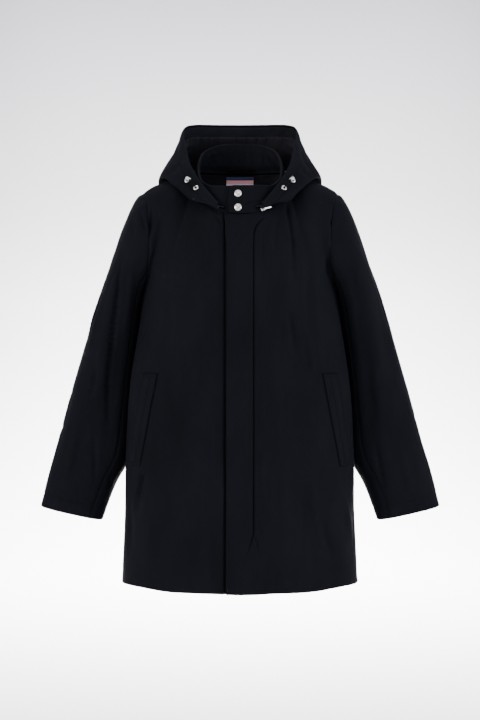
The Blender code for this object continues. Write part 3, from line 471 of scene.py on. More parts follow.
@dataclass(frozen=True)
class CollarCut:
    """The stand collar's outer surface; its left end laps over its right end."""

    over_deg: float = -12.5
    under_deg: float = 371.5
    lap_end_deg: float = 60.0
    seam_gap: float = 0.0010
    belly: float = 0.002

    def skin(self, band: Array, rows: Sequence[float], out: float = 0.0) -> Array:
        """Rows from the seam (0) to the top edge (1).

        Args:
            band: Angles round the neck; past a full turn it is the underlapping end.
            rows: Shares of the collar's height.
            out: How far to stand off the surface.

        Returns:
            A grid of points.
        """
        band = np.asarray(band, float)
        angles = wrapped(band)
        low = BODY.neck_point(angles) + np.array([0.0, 0.0, self.seam_gap])
        high = BODY.neck_point(angles, "top")
        ahead = BODY.neck_point(wrapped(band + 0.5)) - BODY.neck_point(wrapped(band - 0.5))
        normals = unit(np.cross(ahead, high - low))
        stretch = lengths(BODY.top_lines[0])[-1] / BODY.chest_half
        lap = np.where(band < self.lap_end_deg, BODY.fly_raise(low[:, 0] / stretch), 0.0)
        grid = []
        for share in rows:
            off = lap + self.belly * math.sin(math.pi * share) + out
            grid.append(low + (high - low) * share + normals * off[:, None])
        return np.stack(grid)


COLLAR = CollarCut()


@dataclass(frozen=True)
class HoodCut:
    """The hood's outer surface, lying back, from its neck edge (0) to its brim (1)."""

    front_deg: float = 21.0
    centre_deg: float = 151.0
    clear: float = 0.0026
    clear_reach: float = 0.05
    middle_y: float = 0.02
    neck_share: float = 0.18
    neck_out: float = 0.0028
    knots: tuple[float, ...] = (0.0, 0.22, 0.48, 0.76, 1.0)
    table: Table = Table(
        "angle under_x under_y under_z roll_x roll_y roll_z brim_x brim_y brim_z bulge",
        (
            (21, 0.0450, -0.1185, -0.0915, 0.0485, -0.1210, -0.0870, 0.0440, -0.1165, -0.0795, 0.001),
            (40, 0.0720, -0.1030, -0.0790, 0.0770, -0.1060, -0.0730, 0.0660, -0.0990, -0.0530, 0.002),
            (58, 0.0990, -0.0820, -0.0690, 0.1050, -0.0850, -0.0590, 0.0855, -0.0770, -0.0260, 0.004),
            (75, 0.1280, -0.0480, -0.0370, 0.1410, -0.0530, -0.0300, 0.1045, -0.0500, 0.0095, 0.006),
            (95, 0.1470, 0.0050, -0.0080, 0.1710, 0.0060, -0.0120, 0.1140, -0.0180, 0.0430, 0.009),
            (112, 0.1420, 0.0700, -0.0400, 0.1740, 0.0700, -0.0420, 0.1220, 0.0200, 0.0780, 0.011),
            (130, 0.1180, 0.1330, -0.1150, 0.1560, 0.1350, -0.0850, 0.1210, 0.0600, 0.1035, 0.013),
            (148, 0.0850, 0.1620, -0.1700, 0.1200, 0.1760, -0.1150, 0.0980, 0.0880, 0.1145, 0.015),
            (164, 0.0450, 0.1720, -0.1900, 0.0640, 0.2030, -0.1280, 0.0550, 0.1000, 0.1165, 0.016),
            (180, 0.0000, 0.1750, -0.1950, 0.0000, 0.2120, -0.1320, 0.0000, 0.1030, 0.1165, 0.016),
        ),
    )

    def skin(self, degrees: Array, shares: Sequence[float]) -> Array:
        """Rows of the surface.

        Args:
            degrees: Signed angles from the front.
            shares: Shares of the way from the neck edge to the brim.

        Returns:
            A grid of points.
        """
        degrees = wrapped(degrees)
        size = np.clip(np.abs(degrees), self.front_deg, 180)
        neck = COLLAR.skin(size, [self.neck_share], self.neck_out)[0]
        row = self.table.read(size)
        under, roll, brim, bulge = row[:, 0:3], row[:, 3:6], row[:, 6:9], row[:, 9:10]
        middle = (roll + brim) / 2
        away = middle - np.array([0.0, self.middle_y, 0.0])
        away[:, 2] = 0.0
        middle = middle + unit(away) * bulge
        knots = np.stack([neck, under, roll, middle, brim]).reshape(len(self.knots), -1)
        grid = smooth(self.knots, knots, np.asarray(shares, float)).reshape(len(shares), -1, 3)
        grid[:, :, 0] *= np.where(degrees < 0, -1.0, 1.0)
        return grid

    @cached_property
    def cover(self) -> tuple[KDTree, Array, Array]:
        """A fine sample of the body's skin over the shoulders, with its normals."""
        across = np.linspace(0.0, 1.0, 60)
        ups = np.linspace(0, 1, 60)
        front = np.stack([BODY.climb_points(across, up, False) for up in ups])
        back = np.stack([BODY.climb_points(across, up, True) for up in ups])
        raised = BODY.fly_raise(across * BODY.chest_half)[None, :, None]
        lap = front + grid_normals(front) * raised
        skins = [lap, mirrored(front), back, mirrored(back)]
        signs = (False, True, True, False)
        normals = [grid_normals(skin, flip) for skin, flip in zip(skins, signs)]
        points = np.concatenate([skin.reshape(-1, 3) for skin in skins])
        tree = KDTree(len(points))
        for number, point in enumerate(points):
            tree.insert(point, number)
        tree.balance()
        return tree, points, np.concatenate([normal.reshape(-1, 3) for normal in normals])

    def settled(self, grid: Array) -> Array:
        """The surface moved out until it lies clear of the body.

        Args:
            grid: Points of the hood's surface.

        Returns:
            The moved points.
        """
        tree, points, normals = self.cover
        moved = grid.reshape(-1, 3).copy()
        for _ in range(3):
            nearest = np.array([tree.find(Vector(point))[1] for point in moved])
            gap = moved - points[nearest]
            height = (gap * normals[nearest]).sum(axis=1)
            lift = np.maximum(self.clear - height, 0.0)
            near = np.linalg.norm(gap, axis=1) < self.clear_reach
            moved += normals[nearest] * (lift * near)[:, None]
        return moved.reshape(grid.shape)


HOOD = HoodCut()


# Panels.


def grid_normals(grid: Array, flip: bool = False) -> Array:
    """Unit normals at the points of a grid."""
    normal = np.cross(np.gradient(grid, axis=1), np.gradient(grid, axis=0))
    return unit(-normal if flip else normal)


CREASE_GAIN = 1.9
CREASE_NARROWING = 0.86


@dataclass(frozen=True)
class Crease:
    """One crease or fold, drawn on a face of the garment in metres.

    height is plus for a ridge and minus for a trough; lean lifts one flank and lowers
    the other; from_end and to_end are the shares of its length over which it fades.
    """

    path: tuple[Pair, ...]
    height: float
    width: float
    lean: float = 0.0
    from_end: float = 0.45
    to_end: float = 0.45
    face: Face = Face.FRONT

    def rise(self, points: Array, normals: Array) -> Array:
        """How far the crease lifts each point of a skin.

        Args:
            points: The skin, as a grid.
            normals: Its normals.

        Returns:
            A lift for each point.
        """
        first, second, out, sign = self.face.value
        facing = ease((normals[..., out] * sign - 0.02) / 0.25)
        knots = np.array(self.path, float)
        spread = lengths(knots)
        line = smooth(spread, knots, np.linspace(0, spread[-1], 40))
        flat = points.reshape(-1, 3)[:, [first, second]]
        gap = flat[:, None, :] - line[None, :, :]
        nearest = np.argmin((gap**2).sum(axis=2), axis=1)
        ahead = unit(np.gradient(line, axis=0))[nearest]
        offset = gap[np.arange(len(flat)), nearest]
        distance = np.linalg.norm(offset, axis=1) / (self.width * CREASE_NARROWING)
        side = np.sign(ahead[:, 0] * offset[:, 1] - ahead[:, 1] * offset[:, 0])
        share = nearest / (len(line) - 1)
        fade = ease(share / max(self.from_end, 1e-3)) * ease((1 - share) / max(self.to_end, 1e-3))
        body = bell(distance) * (1 + self.lean * side * distance * 1.6)
        return (self.height * fade * body).reshape(points.shape[:2]) * facing


def drawn(face: Face, *rows: tuple[str | float, ...]) -> tuple[Crease, ...]:
    """Creases drawn on one face, in millimetres.

    Args:
        face: The side they are drawn from.
        rows: For each its path as "across up, across up", its height and width and, where
            they aren't plain, its lean and the shares over which its ends fade.

    Returns:
        The creases, in metres.
    """
    creases = []
    for path, height, width, *rest in rows:
        knots = tuple(tuple(float(n) / 1000 for n in spot.split()) for spot in path.split(","))
        creases.append(Crease(knots, height / 1000, width / 1000, *rest, face=face))
    return tuple(creases)


class Panel:
    """One cut piece: the grid of its outer skin, and how far each point is raised."""

    def __init__(self, points: Array, flip: bool = False) -> None:
        """Takes the skin's rows; flip turns its outer side round."""
        self.base = points
        self.flip = flip
        self.normals = grid_normals(points, flip)
        self.raised = np.zeros(points.shape[:2])
        across = np.linalg.norm(np.diff(points, axis=1), axis=2)
        upward = np.linalg.norm(np.diff(points, axis=0), axis=2)
        self.u = np.pad(np.cumsum(across, axis=1), ((0, 0), (1, 0)))
        self.v = np.pad(np.cumsum(upward, axis=0), ((1, 0), (0, 0)))

    def distance(self, edge: Edge) -> Array:
        """The distance of each point from one edge, along the cloth."""
        return {
            Edge.LEFT: self.u,
            Edge.RIGHT: self.u[:, -1:] - self.u,
            Edge.BOTTOM: self.v,
            Edge.TOP: self.v[-1:, :] - self.v,
        }[edge]

    def along(self, edge: Edge) -> Array:
        """How far along one edge each point lies."""
        return self.v if edge in (Edge.LEFT, Edge.RIGHT) else self.u

    def seam(self, edges: Sequence[Edge], seed: int, dip: float = 0.0020, reach: float = 0.0055,
             pucker: float = 0.0007, pitch: float = 0.011, spread: float = 0.016,
             flat: Edge | None = None) -> "Panel":
        """Rolls the cloth down into a seam and puckers it there.

        Args:
            edges: The sewn edges.
            seed: Which noise the puckers follow.
            dip: How deep the seam lies.
            reach: How far from the seam the cloth is rolled.
            pucker: The height of the puckers.
            pitch: The spacing of the puckers.
            spread: How far from the seam they run.
            flat: An edge near which the seam lies flat.

        Returns:
            The panel itself.
        """
        before = self.raised.copy()
        for number, edge in enumerate(edges):
            away = self.distance(edge)
            along = self.along(edge)
            self.raised -= dip * bell(away, reach)
            lumps = noise(along / pitch, away / (4 * pitch), seed + number)
            fade = np.exp(-away / spread) * ease(away / (0.4 * reach))
            self.raised += pucker * lumps * fade * (0.6 + 0.4 * noise(along / 0.07, 0 * away, seed + 9))
        if flat is not None:
            share = ease((self.distance(flat) - 0.002) / 0.014)
            self.raised = before + (self.raised - before) * share
        return self

    def groove(self, edge: Edge, inset: float, depth: float, width: float, seed: int) -> "Panel":
        """Sinks a line of stitches at a fixed distance from one edge, with small puckers."""
        away = self.distance(edge) - inset
        line = bell(away, width)
        lumps = noise(self.along(edge) / 0.009, away / 0.03, seed)
        self.raised -= depth * line * (1 + 0.3 * lumps)
        self.raised += 0.45 * depth * lumps * np.exp(-np.abs(away) / (3 * width)) * (1 - line)
        return self

    def ripple(self, height: float, across: float, down: float, seed: int) -> "Panel":
        """Adds uneven ripples that run along the cloth's length."""
        shift = 0.5 * noise(self.v / (1.4 * down), 0 * self.v, seed + 1)
        self.raised += height * noise(self.u / across + shift, self.v / down, seed)
        return self

    def creased(self, creases: Sequence[Crease]) -> "Panel":
        """Adds the drawn creases."""
        for crease in creases:
            self.raised += CREASE_GAIN * crease.rise(self.base, self.normals)
        return self

    @property
    def points(self) -> Array:
        """The raised skin."""
        return self.base + self.normals * self.raised[..., None]

    def settle(self) -> "Panel":
        """Takes the raised skin as the new base, so that later work follows its folds."""
        self.base = self.points
        self.normals = grid_normals(self.base, self.flip)
        self.raised = np.zeros(self.base.shape[:2])
        return self

    def declare(self, piece: Piece, held: str, rests_on: Sequence[str] = (), layers: int = 1) -> None:
        """Works out the size of the piece's cut as a sheet of cloth, but keeps it nowhere."""
        width, length = float(self.u[:, -1].max()), layers * float(self.v[-1].max())
        sides = (np.diff(self.base, axis=1)[:-1], np.diff(self.base, axis=0)[:, :-1])
        area = layers * float(np.linalg.norm(np.cross(*sides), axis=2).sum())
        curved = min(1.0, math.sqrt(2 * area / (width * length)))
        width, length = max(0.010, width * curved), max(0.010, length * curved)

    def line(self, edge: Edge, inset: float, start: float = 0.0, end: float = 1.0,
             count: int = 200) -> tuple[Array, Array]:
        """A line on the raised skin at a fixed distance from one edge.

        Args:
            edge: The edge that the line follows.
            inset: Its distance from the edge.
            start: Where along the edge it starts, as a share.
            end: Where it ends.
            count: The number of points.

        Returns:
            The points and their normals.
        """
        points, normals = self.points, grid_normals(self.points, self.flip)
        away = self.distance(edge)
        if edge in (Edge.BOTTOM, Edge.TOP):
            points, normals, away = (np.swapaxes(a, 0, 1) for a in (points, normals, away))
        if edge in (Edge.RIGHT, Edge.TOP):
            points, normals, away = points[:, ::-1], normals[:, ::-1], away[:, ::-1]
        stack = np.concatenate([points, normals], axis=2)
        found = np.stack([
            [np.interp(inset, away[k], stack[k, :, axis]) for axis in range(6)]
            for k in range(len(stack))
        ])
        places = np.linspace(start, end, count) * (len(found) - 1)
        found = np.stack([np.interp(places, np.arange(len(found)), found[:, k]) for k in range(6)], axis=1)
        return found[:, :3], unit(found[:, 3:])

    def build(self, name: str, finish: Material, inside: Material,
              turned: Sequence[Edge] = (), thickness: float = 0.0012, radius: float = 0.0022,
              tuck: float = 0.014, taper: float = 0.0) -> Piece:
        """Makes the piece: its skin, any edges turned in, and a thin wall behind it.

        Args:
            name: The piece's name.
            finish: The outer finish.
            inside: The finish of its inner face.
            turned: Edges that are folded in, in the order in which they are folded.
            thickness: The cloth's own thickness.
            radius: The radius of a folded edge.
            tuck: How far the folded cloth runs back inside.
            taper: How far from its first end a folded edge is flatter.

        Returns:
            The new object.
        """
        grid = self.points
        uv = np.stack([self.u, self.v], axis=2)
        for edge in turned:
            grid, uv = self.folded(grid, uv, edge, radius, tuck, taper)
        piece = mesh_from_grid(name, grid, uv, self.flip, finish)
        give_wall(piece, inside, thickness)
        return piece

    def folded(self, grid: Array, uv: Array, edge: Edge, radius: float, tuck: float,
               taper: float) -> tuple[Array, Array]:
        """Adds rows that turn one edge in through half a circle and run back inside.

        Args:
            grid: The skin so far.
            uv: Its texture coordinates.
            edge: The edge that is folded.
            radius: The radius of the fold.
            tuck: How far the cloth runs back inside.
            taper: How far from its first end the fold is flatter.

        Returns:
            The longer skin and its texture coordinates.
        """
        swap = edge in (Edge.LEFT, Edge.RIGHT)
        work, texture = (np.swapaxes(a, 0, 1) if swap else a for a in (grid, uv))
        last = edge in (Edge.RIGHT, Edge.TOP)
        work, texture = (a[::-1] if last else a for a in (work, texture))
        normals = grid_normals(grid, self.flip)
        normals = np.swapaxes(normals, 0, 1) if swap else normals
        normal = (normals[::-1] if last else normals)[0]
        out = unit(work[0] - work[2])
        normal = unit(normal - out * (normal * out).sum(axis=1, keepdims=True))
        rows, shift = [], []
        size = np.full((len(normal), 1), radius)
        if taper > 0:
            size *= 0.12 + 0.88 * ease(lengths(work[0]) / taper)[:, None]
        for angle in np.linspace(0, math.pi, 9)[1:]:
            rows.append(work[0] + out * size * math.sin(angle) - normal * size * (1 - math.cos(angle)))
            shift.append(radius * angle)
        for step in (0.4, 1.0):
            rows.append(work[0] - out * tuck * step * size / radius - normal * 2 * size)
            shift.append(radius * math.pi + tuck * step)
        axis = 0 if swap else 1
        sign = 1.0 if last else -1.0
        edges = []
        for move in shift:
            moved = texture[0].copy()
            moved[:, axis] += sign * move
            edges.append(moved)
        work = np.concatenate([np.stack(rows[::-1]), work])
        texture = np.concatenate([np.stack(edges[::-1]), texture])
        work, texture = (a[::-1] if last else a for a in (work, texture))
        return tuple(np.swapaxes(a, 0, 1) if swap else a for a in (work, texture))


def sided(grid: Array, side: Side) -> Panel:
    """The panel of one side, from the grid of the wearer's left."""
    return Panel(grid if side is Side.LEFT else mirrored(grid), flip=side is Side.RIGHT)


def linked(name: str, data: bpy.types.ID, place: Triple = (0.0, 0.0, 0.0),
           turn: Triple = (0.0, 0.0, 0.0)) -> Piece:
    """Adds an object to the scene, at a place and turned about the axes."""
    piece = bpy.data.objects.new(name, data)
    piece.location = place
    piece.rotation_euler = turn
    bpy.context.scene.collection.objects.link(piece)
    return piece


def add_mesh(name: str, points: Sequence, faces: Sequence, finish: Material, flat: bool = False) -> Piece:
    """Adds a mesh with one finish to the scene.

    Args:
        name: Its name.
        points: Its vertices.
        faces: Its faces, as rows of vertex numbers.
        finish: Its finish.
        flat: Whether its faces are shaded flat.

    Returns:
        The new object.
    """
    mesh = bpy.data.meshes.new(name)
    mesh.from_pydata(points, [], faces)
    mesh.materials.append(finish)
    if not flat:
        mesh.shade_smooth()
    return linked(name, mesh)


def give_wall(piece: Piece, inside: Material, thickness: float) -> None:
    """Gives a skin a thin wall behind it, with its own inner finish."""
    piece.data.materials.append(inside)
    wall = piece.modifiers.new("Cloth", "SOLIDIFY")
    wall.thickness = thickness
    wall.offset = -1.0
    wall.material_offset = 1


def mesh_from_grid(name: str, grid: Array, uv: Array, flip: bool, finish: Material) -> Piece:
    """Makes a smooth-shaded skin through a grid, with texture coordinates in metres.

    Args:
        name: Its name.
        grid: Its points.
        uv: Their texture coordinates.
        flip: Whether its outer side is turned round.
        finish: Its finish.

    Returns:
        The new object.
    """
    rows, count = grid.shape[:2]
    index = np.arange(rows * count).reshape(rows, count)
    quads = np.stack([index[:-1, :-1], index[:-1, 1:], index[1:, 1:], index[1:, :-1]], axis=-1)
    quads = quads.reshape(-1, 4)
    if flip:
        quads = quads[:, ::-1]
    piece = add_mesh(name, grid.reshape(-1, 3).tolist(), quads.tolist(), finish)
    layer = piece.data.uv_layers.new(name="Cloth")
    layer.data.foreach_set("uv", uv.reshape(-1, 2)[quads.reshape(-1)].astype(np.float32).ravel())
    return piece


def go_with(piece: Piece) -> Piece:
    """Declares a piece that goes with a solid's replacement: its body."""
    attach(piece, GARMENT)
    return piece


def stand_for(piece: Piece, node: str) -> Piece:
    go_with(piece)
    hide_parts(node)
    return piece


# Finishes.


class Graph:
    """The node tree of one finish."""

    def __init__(self, name: str) -> None:
        """Starts a material with only its Principled shader."""
        self.material = bpy.data.materials.new(name)
        self.material.use_nodes = True
        self.nodes = self.material.node_tree.nodes
        self.links = self.material.node_tree.links
        self.shader = self.nodes["Principled BSDF"]

    def constant(self, **values: float | tuple[float, ...]) -> None:
        """Sets sockets of the shader that are the same all over."""
        for name, value in values.items():
            self.shader.inputs[name.replace("_", " ")].default_value = value

    def add(self, kind: str, **inputs: object) -> bpy.types.Node:
        """Adds a node; inputs that are sockets are linked and others are set."""
        node = self.nodes.new(kind)
        for name, value in inputs.items():
            self.feed(node.inputs[name.replace("_", " ")], value)
        return node

    def feed(self, socket: Socket, value: object) -> None:
        """Links or sets one socket."""
        if isinstance(value, Socket):
            self.links.new(value, socket)
        else:
            socket.default_value = value

    def place(self, scale: Triple, cloth: bool = False) -> Socket:
        """Coordinates in metres times a scale, from the surface or from the cloth's own."""
        source = self.add("ShaderNodeTexCoord").outputs["UV" if cloth else "Object"]
        return self.add("ShaderNodeMapping", Vector=source, Scale=scale).outputs["Vector"]

    def height(self) -> Socket:
        """The height above the origin, in metres."""
        return self.add("ShaderNodeSeparateXYZ", Vector=self.place((1.0, 1.0, 1.0))).outputs["Z"]

    def lumps(self, place: Socket, detail: float = 3.0, roughness: float = 0.5) -> Socket:
        """Fractal noise at a place, about one lump for each unit."""
        return self.add(
            "ShaderNodeTexNoise", Vector=place, Scale=1.0, Detail=detail, Roughness=roughness
        ).outputs["Fac"]

    def wave(self, place: Socket, direction: str) -> Socket:
        """A sine wave along one axis, one for each unit."""
        node = self.add("ShaderNodeTexWave", Vector=place, Scale=1.0)
        node.bands_direction = direction
        node.wave_profile = "SIN"
        return node.outputs["Fac"]

    def maths(self, operation: str, a: object, b: object) -> Socket:
        """One sum or product."""
        node = self.nodes.new("ShaderNodeMath")
        node.operation = operation
        self.feed(node.inputs[0], a)
        self.feed(node.inputs[1], b)
        return node.outputs[0]

    def range(self, value: Socket, low: float, high: float, start: float = 0.3,
              end: float = 0.7) -> Socket:
        """Maps start to end onto low to high."""
        return self.add(
            "ShaderNodeMapRange", Value=value, From_Min=start, From_Max=end, To_Min=low, To_Max=high
        ).outputs["Result"]

    def colours(self, value: Socket,
                stops: Sequence[tuple[float, Triple]],
                stepped: bool = False) -> Socket:
        """A ramp of colours or, if it is stepped, bands of plain colour."""
        node = self.add("ShaderNodeValToRGB", Fac=value)
        ramp = node.color_ramp
        ramp.interpolation = "CONSTANT" if stepped else "LINEAR"
        while len(ramp.elements) < len(stops):
            ramp.elements.new(0.5)
        for element, (place, colour) in zip(ramp.elements, stops):
            element.position = place
            element.color = (*colour, 1.0)
        return node.outputs["Color"]

    def bump(self, height: Socket, distance: float, strength: float = 1.0,
             below: Socket | None = None) -> Socket:
        """A bump on top of another one."""
        node = self.add("ShaderNodeBump", Height=height, Distance=distance, Strength=strength)
        if below is not None:
            self.links.new(below, node.inputs["Normal"])
        return node.outputs["Normal"]

    def finish(self, **sockets: Socket) -> Material:
        """Links the shader's sockets and returns the material."""
        for name, socket in sockets.items():
            self.links.new(socket, self.shader.inputs[name.replace("_", " ")])
        return self.material


@dataclass(frozen=True)
class PaddedCloth:
    """Dark navy-black nylon over padding: fine plain weave, soft low sheen, tiny crinkles."""

    name: str
    dark: Triple = (0.0042, 0.0044, 0.0060)
    light: Triple = (0.0064, 0.0067, 0.0094)
    roughness: Pair = (0.56, 0.68)
    thread: float = 0.0006
    weave_depth: float = 0.00006
    crinkle: float = 0.00055
    sheen: float = 0.004
    gloss: float = 0.012

    def make(self) -> Material:
        """Builds the material."""
        graph = Graph(self.name)
        graph.constant(
            Sheen_Weight=self.sheen, Sheen_Roughness=0.45, Sheen_Tint=(0.55, 0.60, 0.75, 1.0),
            Specular_IOR_Level=self.gloss,
        )
        threads = graph.place((1 / self.thread, 1 / self.thread, 1.0), cloth=True)
        warp = graph.wave(threads, "X")
        weft = graph.wave(threads, "Y")
        weave = graph.maths("MULTIPLY", warp, weft)
        slub = graph.lumps(graph.place((160.0, 2600.0, 1.0), cloth=True), 2.0)
        crinkles = graph.lumps(graph.place((95.0, 95.0, 42.0)), 5.0, 0.58)
        broad = graph.lumps(graph.place((16.0, 16.0, 7.0)), 3.0, 0.5)
        tone = graph.maths("ADD", graph.maths("MULTIPLY", slub, 0.45), graph.maths("MULTIPLY", broad, 0.55))
        colour = graph.colours(tone, ((0.35, self.dark), (0.65, self.light)))
        rough = graph.range(broad, self.roughness[0], self.roughness[1])
        normal = graph.bump(crinkles, self.crinkle, 0.9)
        normal = graph.bump(broad, 0.0030, 0.5, normal)
        normal = graph.bump(weave, self.weave_depth, 1.0, normal)
        return graph.finish(Base_Color=colour, Roughness=rough, Normal=normal)


@dataclass(frozen=True)
class Metal:
    """Silver plating with a faint brush and small marks."""

    name: str
    colour: Triple = (0.70, 0.69, 0.66)
    roughness: Pair = (0.16, 0.30)

    def make(self) -> Material:
        """Builds the material."""
        graph = Graph(self.name)
        graph.constant(Metallic=1.0)
        marks = graph.lumps(graph.place((900.0, 900.0, 900.0)), 4.0, 0.6)
        brush = graph.lumps(graph.place((260.0, 260.0, 2600.0)), 2.0)
        warm = tuple(c * f for c, f in zip(self.colour, (0.92, 0.88, 0.80)))
        colour = graph.colours(marks, ((0.3, warm), (0.6, self.colour)))
        rough = graph.range(brush, self.roughness[0], self.roughness[1])
        normal = graph.bump(marks, 0.00004, 0.6)
        return graph.finish(Base_Color=colour, Roughness=rough, Normal=normal)


@dataclass(frozen=True)
class Braid:
    """Woven or braided trim: elastic cord, zip tape, hanger tape and sewing thread."""

    name: str
    dark: Triple = (0.0028, 0.0028, 0.0034)
    light: Triple = (0.0085, 0.0085, 0.0105)
    pitch: float = 0.0009
    roughness: float = 0.62

    def make(self) -> Material:
        """Builds the material."""
        graph = Graph(self.name)
        graph.constant(
            Roughness=self.roughness, Sheen_Weight=0.01, Sheen_Roughness=0.4, Specular_IOR_Level=0.02
        )
        place = graph.place((1 / self.pitch,) * 3)
        rib = graph.maths("MULTIPLY", graph.wave(place, "DIAGONAL"), graph.wave(place, "Z"))
        fuzz = graph.lumps(graph.place((2200.0,) * 3), 2.0)
        mix = graph.maths("ADD", graph.maths("MULTIPLY", rib, 0.6), graph.maths("MULTIPLY", fuzz, 0.4))
        colour = graph.colours(mix, ((0.2, self.dark), (0.75, self.light)))
        normal = graph.bump(mix, 0.00018, 0.9)
        return graph.finish(Base_Color=colour, Normal=normal)


@dataclass(frozen=True)
class StripedRibbon:
    """Satin ribbon with plain stripes that run along it."""

    name: str
    low_z: float
    high_z: float
    stops: tuple[tuple[float, Triple], ...] = (
        (0.0, (0.010, 0.022, 0.085)),
        (0.34, (0.78, 0.78, 0.80)),
        (0.62, (0.80, 0.36, 0.42)),
        (0.84, (0.010, 0.022, 0.085)),
    )

    def make(self) -> Material:
        """Builds the material."""
        graph = Graph(self.name)
        graph.constant(Sheen_Weight=0.25, Specular_IOR_Level=0.5)
        share = graph.range(graph.height(), 0.0, 1.0, self.low_z, self.high_z)
        fuzz = graph.maths("MULTIPLY", graph.lumps(graph.place((700.0, 700.0, 2500.0)), 2.0), 0.03)
        colour = graph.colours(graph.maths("ADD", share, fuzz), self.stops, stepped=True)
        threads = graph.wave(graph.place((1.0, 1.0, 2200.0)), "Z")
        rough = graph.range(threads, 0.34, 0.5)
        normal = graph.bump(threads, 0.00008, 0.8)
        return graph.finish(Base_Color=colour, Roughness=rough, Normal=normal)


@dataclass(frozen=True)
class StudioPaper:
    """The pale seamless paper of the floor and backdrop, with painted shade: its colour darkens upward, where
    less light would reach.
    """

    name: str = "Studio paper"
    colour: Triple = (0.98, 0.98, 0.985)
    painted_shade: Triple = (0.42, 0.41, 0.455)
    painted_shade_from: float = -0.10
    painted_shade_to: float = 1.75

    def make(self) -> Material:
        """Builds the material."""
        graph = Graph(self.name)
        graph.constant(Roughness=0.9, Specular_IOR_Level=0.15)
        grain = graph.maths("MULTIPLY", graph.lumps(graph.place((40.0,) * 3), 3.0), 0.02)
        # Painted shade: the paper's colour runs from its own pale colour at the floor to a darker grey-blue
        # high on the backdrop.
        share = graph.range(graph.height(), 0.0, 0.98, self.painted_shade_from, self.painted_shade_to)
        colour = graph.colours(graph.maths("ADD", share, grain), ((0.0, self.colour), (1.0, self.painted_shade)))
        return graph.finish(Base_Color=colour)


class Wardrobe:
    """Every finish, made once."""

    def __init__(self) -> None:
        """Makes the materials."""
        self.shell = PaddedCloth("Outer cloth").make()
        # Painted light: the cloth on the inner faces of the walls is about two and a half times as light as
        # the shell cloth. This lifts the shade inside the neck, hem, cuffs and hood.
        self.inside = PaddedCloth(
            "Inner cloth", (0.0110, 0.0112, 0.0140), (0.0160, 0.0163, 0.0205), (0.56, 0.66), 0.0005
        ).make()
        # Painted light: the hood's lining is about three times as light as the shell cloth. This lifts the
        # shade in the hood's hollow.
        self.lining = PaddedCloth(
            "Lining cloth", (0.0120, 0.0116, 0.0146), (0.0180, 0.0174, 0.0220), (0.52, 0.64), 0.0005
        ).make()
        # Painted light: the brim's facing is a copy of the shell cloth made about twice as light. This lifts
        # the shade just inside the hood's brim.
        self.facing = PaddedCloth(
            "Facing cloth", (0.0082, 0.0085, 0.0112), (0.0122, 0.0127, 0.0168), (0.54, 0.66), 0.0005
        ).make()
        self.thread = Braid(
            "Sewing thread", (0.0020, 0.0022, 0.0030), (0.0046, 0.0050, 0.0068), 0.0004, 0.6
        ).make()
        self.elastic = Braid("Elastic cord", pitch=0.0011).make()
        self.tape = Braid("Woven tape", (0.0014, 0.0014, 0.0018), (0.0036, 0.0036, 0.0044), 0.0008).make()
        self.silver = Metal("Silver").make()
        self.steel = Metal("Steel", (0.62, 0.62, 0.62), (0.2, 0.34)).make()
        self.teeth = Metal("Dark zip metal", (0.035, 0.035, 0.040), (0.4, 0.55)).make()


# Stitches.


class Stitching:
    """Sewing thread: one small bead of thread for each stitch that shows."""

    def __init__(self, pitch: float = 0.0040, length: float = 0.0031, radius: float = 0.00036) -> None:
        """Sets the stitch: its pitch, its length and the thread's radius."""
        self.pitch = pitch
        self.length = length
        self.radius = radius
        self.vertices: list[Array] = []
        self.faces: list[Array] = []

    @cached_property
    def bead(self) -> tuple[Array, Array]:
        """A stretched bead along X with six sides, and its faces."""
        rings = [(-0.5, 0.25), (-0.32, 0.9), (0.0, 1.0), (0.32, 0.9), (0.5, 0.25)]
        turn = np.linspace(0, 2 * math.pi, 7)[:-1]
        points = [(x, r * math.cos(a), r * math.sin(a)) for x, r in rings for a in turn]
        faces = [
            (6 * k + s, 6 * k + (s + 1) % 6, 6 * k + 6 + (s + 1) % 6, 6 * k + 6 + s)
            for k in range(len(rings) - 1) for s in range(6)
        ]
        return np.array(points), np.array(faces)

    def run(self, points: Array, normals: Array, sink: float = 0.00008) -> "Stitching":
        """Sews along a line on a skin.

        Args:
            points: The line.
            normals: The skin's normals there.
            sink: How deep the thread is pulled in.

        Returns:
            The stitching itself.
        """
        along = lengths(points)
        count = int(along[-1] / self.pitch)
        middles = (np.arange(count) + 0.5) * self.pitch
        places = at_length(points, middles)
        outs = unit(np.stack([np.interp(middles, along, normals[:, k]) for k in range(3)], axis=1))
        ahead = unit(at_length(points, middles + 0.001) - at_length(points, middles - 0.001))
        sides = unit(np.cross(outs, ahead))
        shape, faces = self.bead
        size = shape * np.array([self.length, self.radius, self.radius])
        for place, out, forward, side in zip(places, outs, ahead, sides):
            start = 30 * len(self.vertices)
            seat = place + out * (self.radius * 0.55 - sink)
            self.vertices.append(seat + size[:, :1] * forward + size[:, 1:2] * side + size[:, 2:] * out)
            self.faces.append(faces + start)
        return self

    def build(self, name: str, thread: Material) -> Piece:
        """Joins the stitches into one piece."""
        vertices, faces = np.concatenate(self.vertices), np.concatenate(self.faces)
        return add_mesh(name, vertices.tolist(), faces.tolist(), thread)


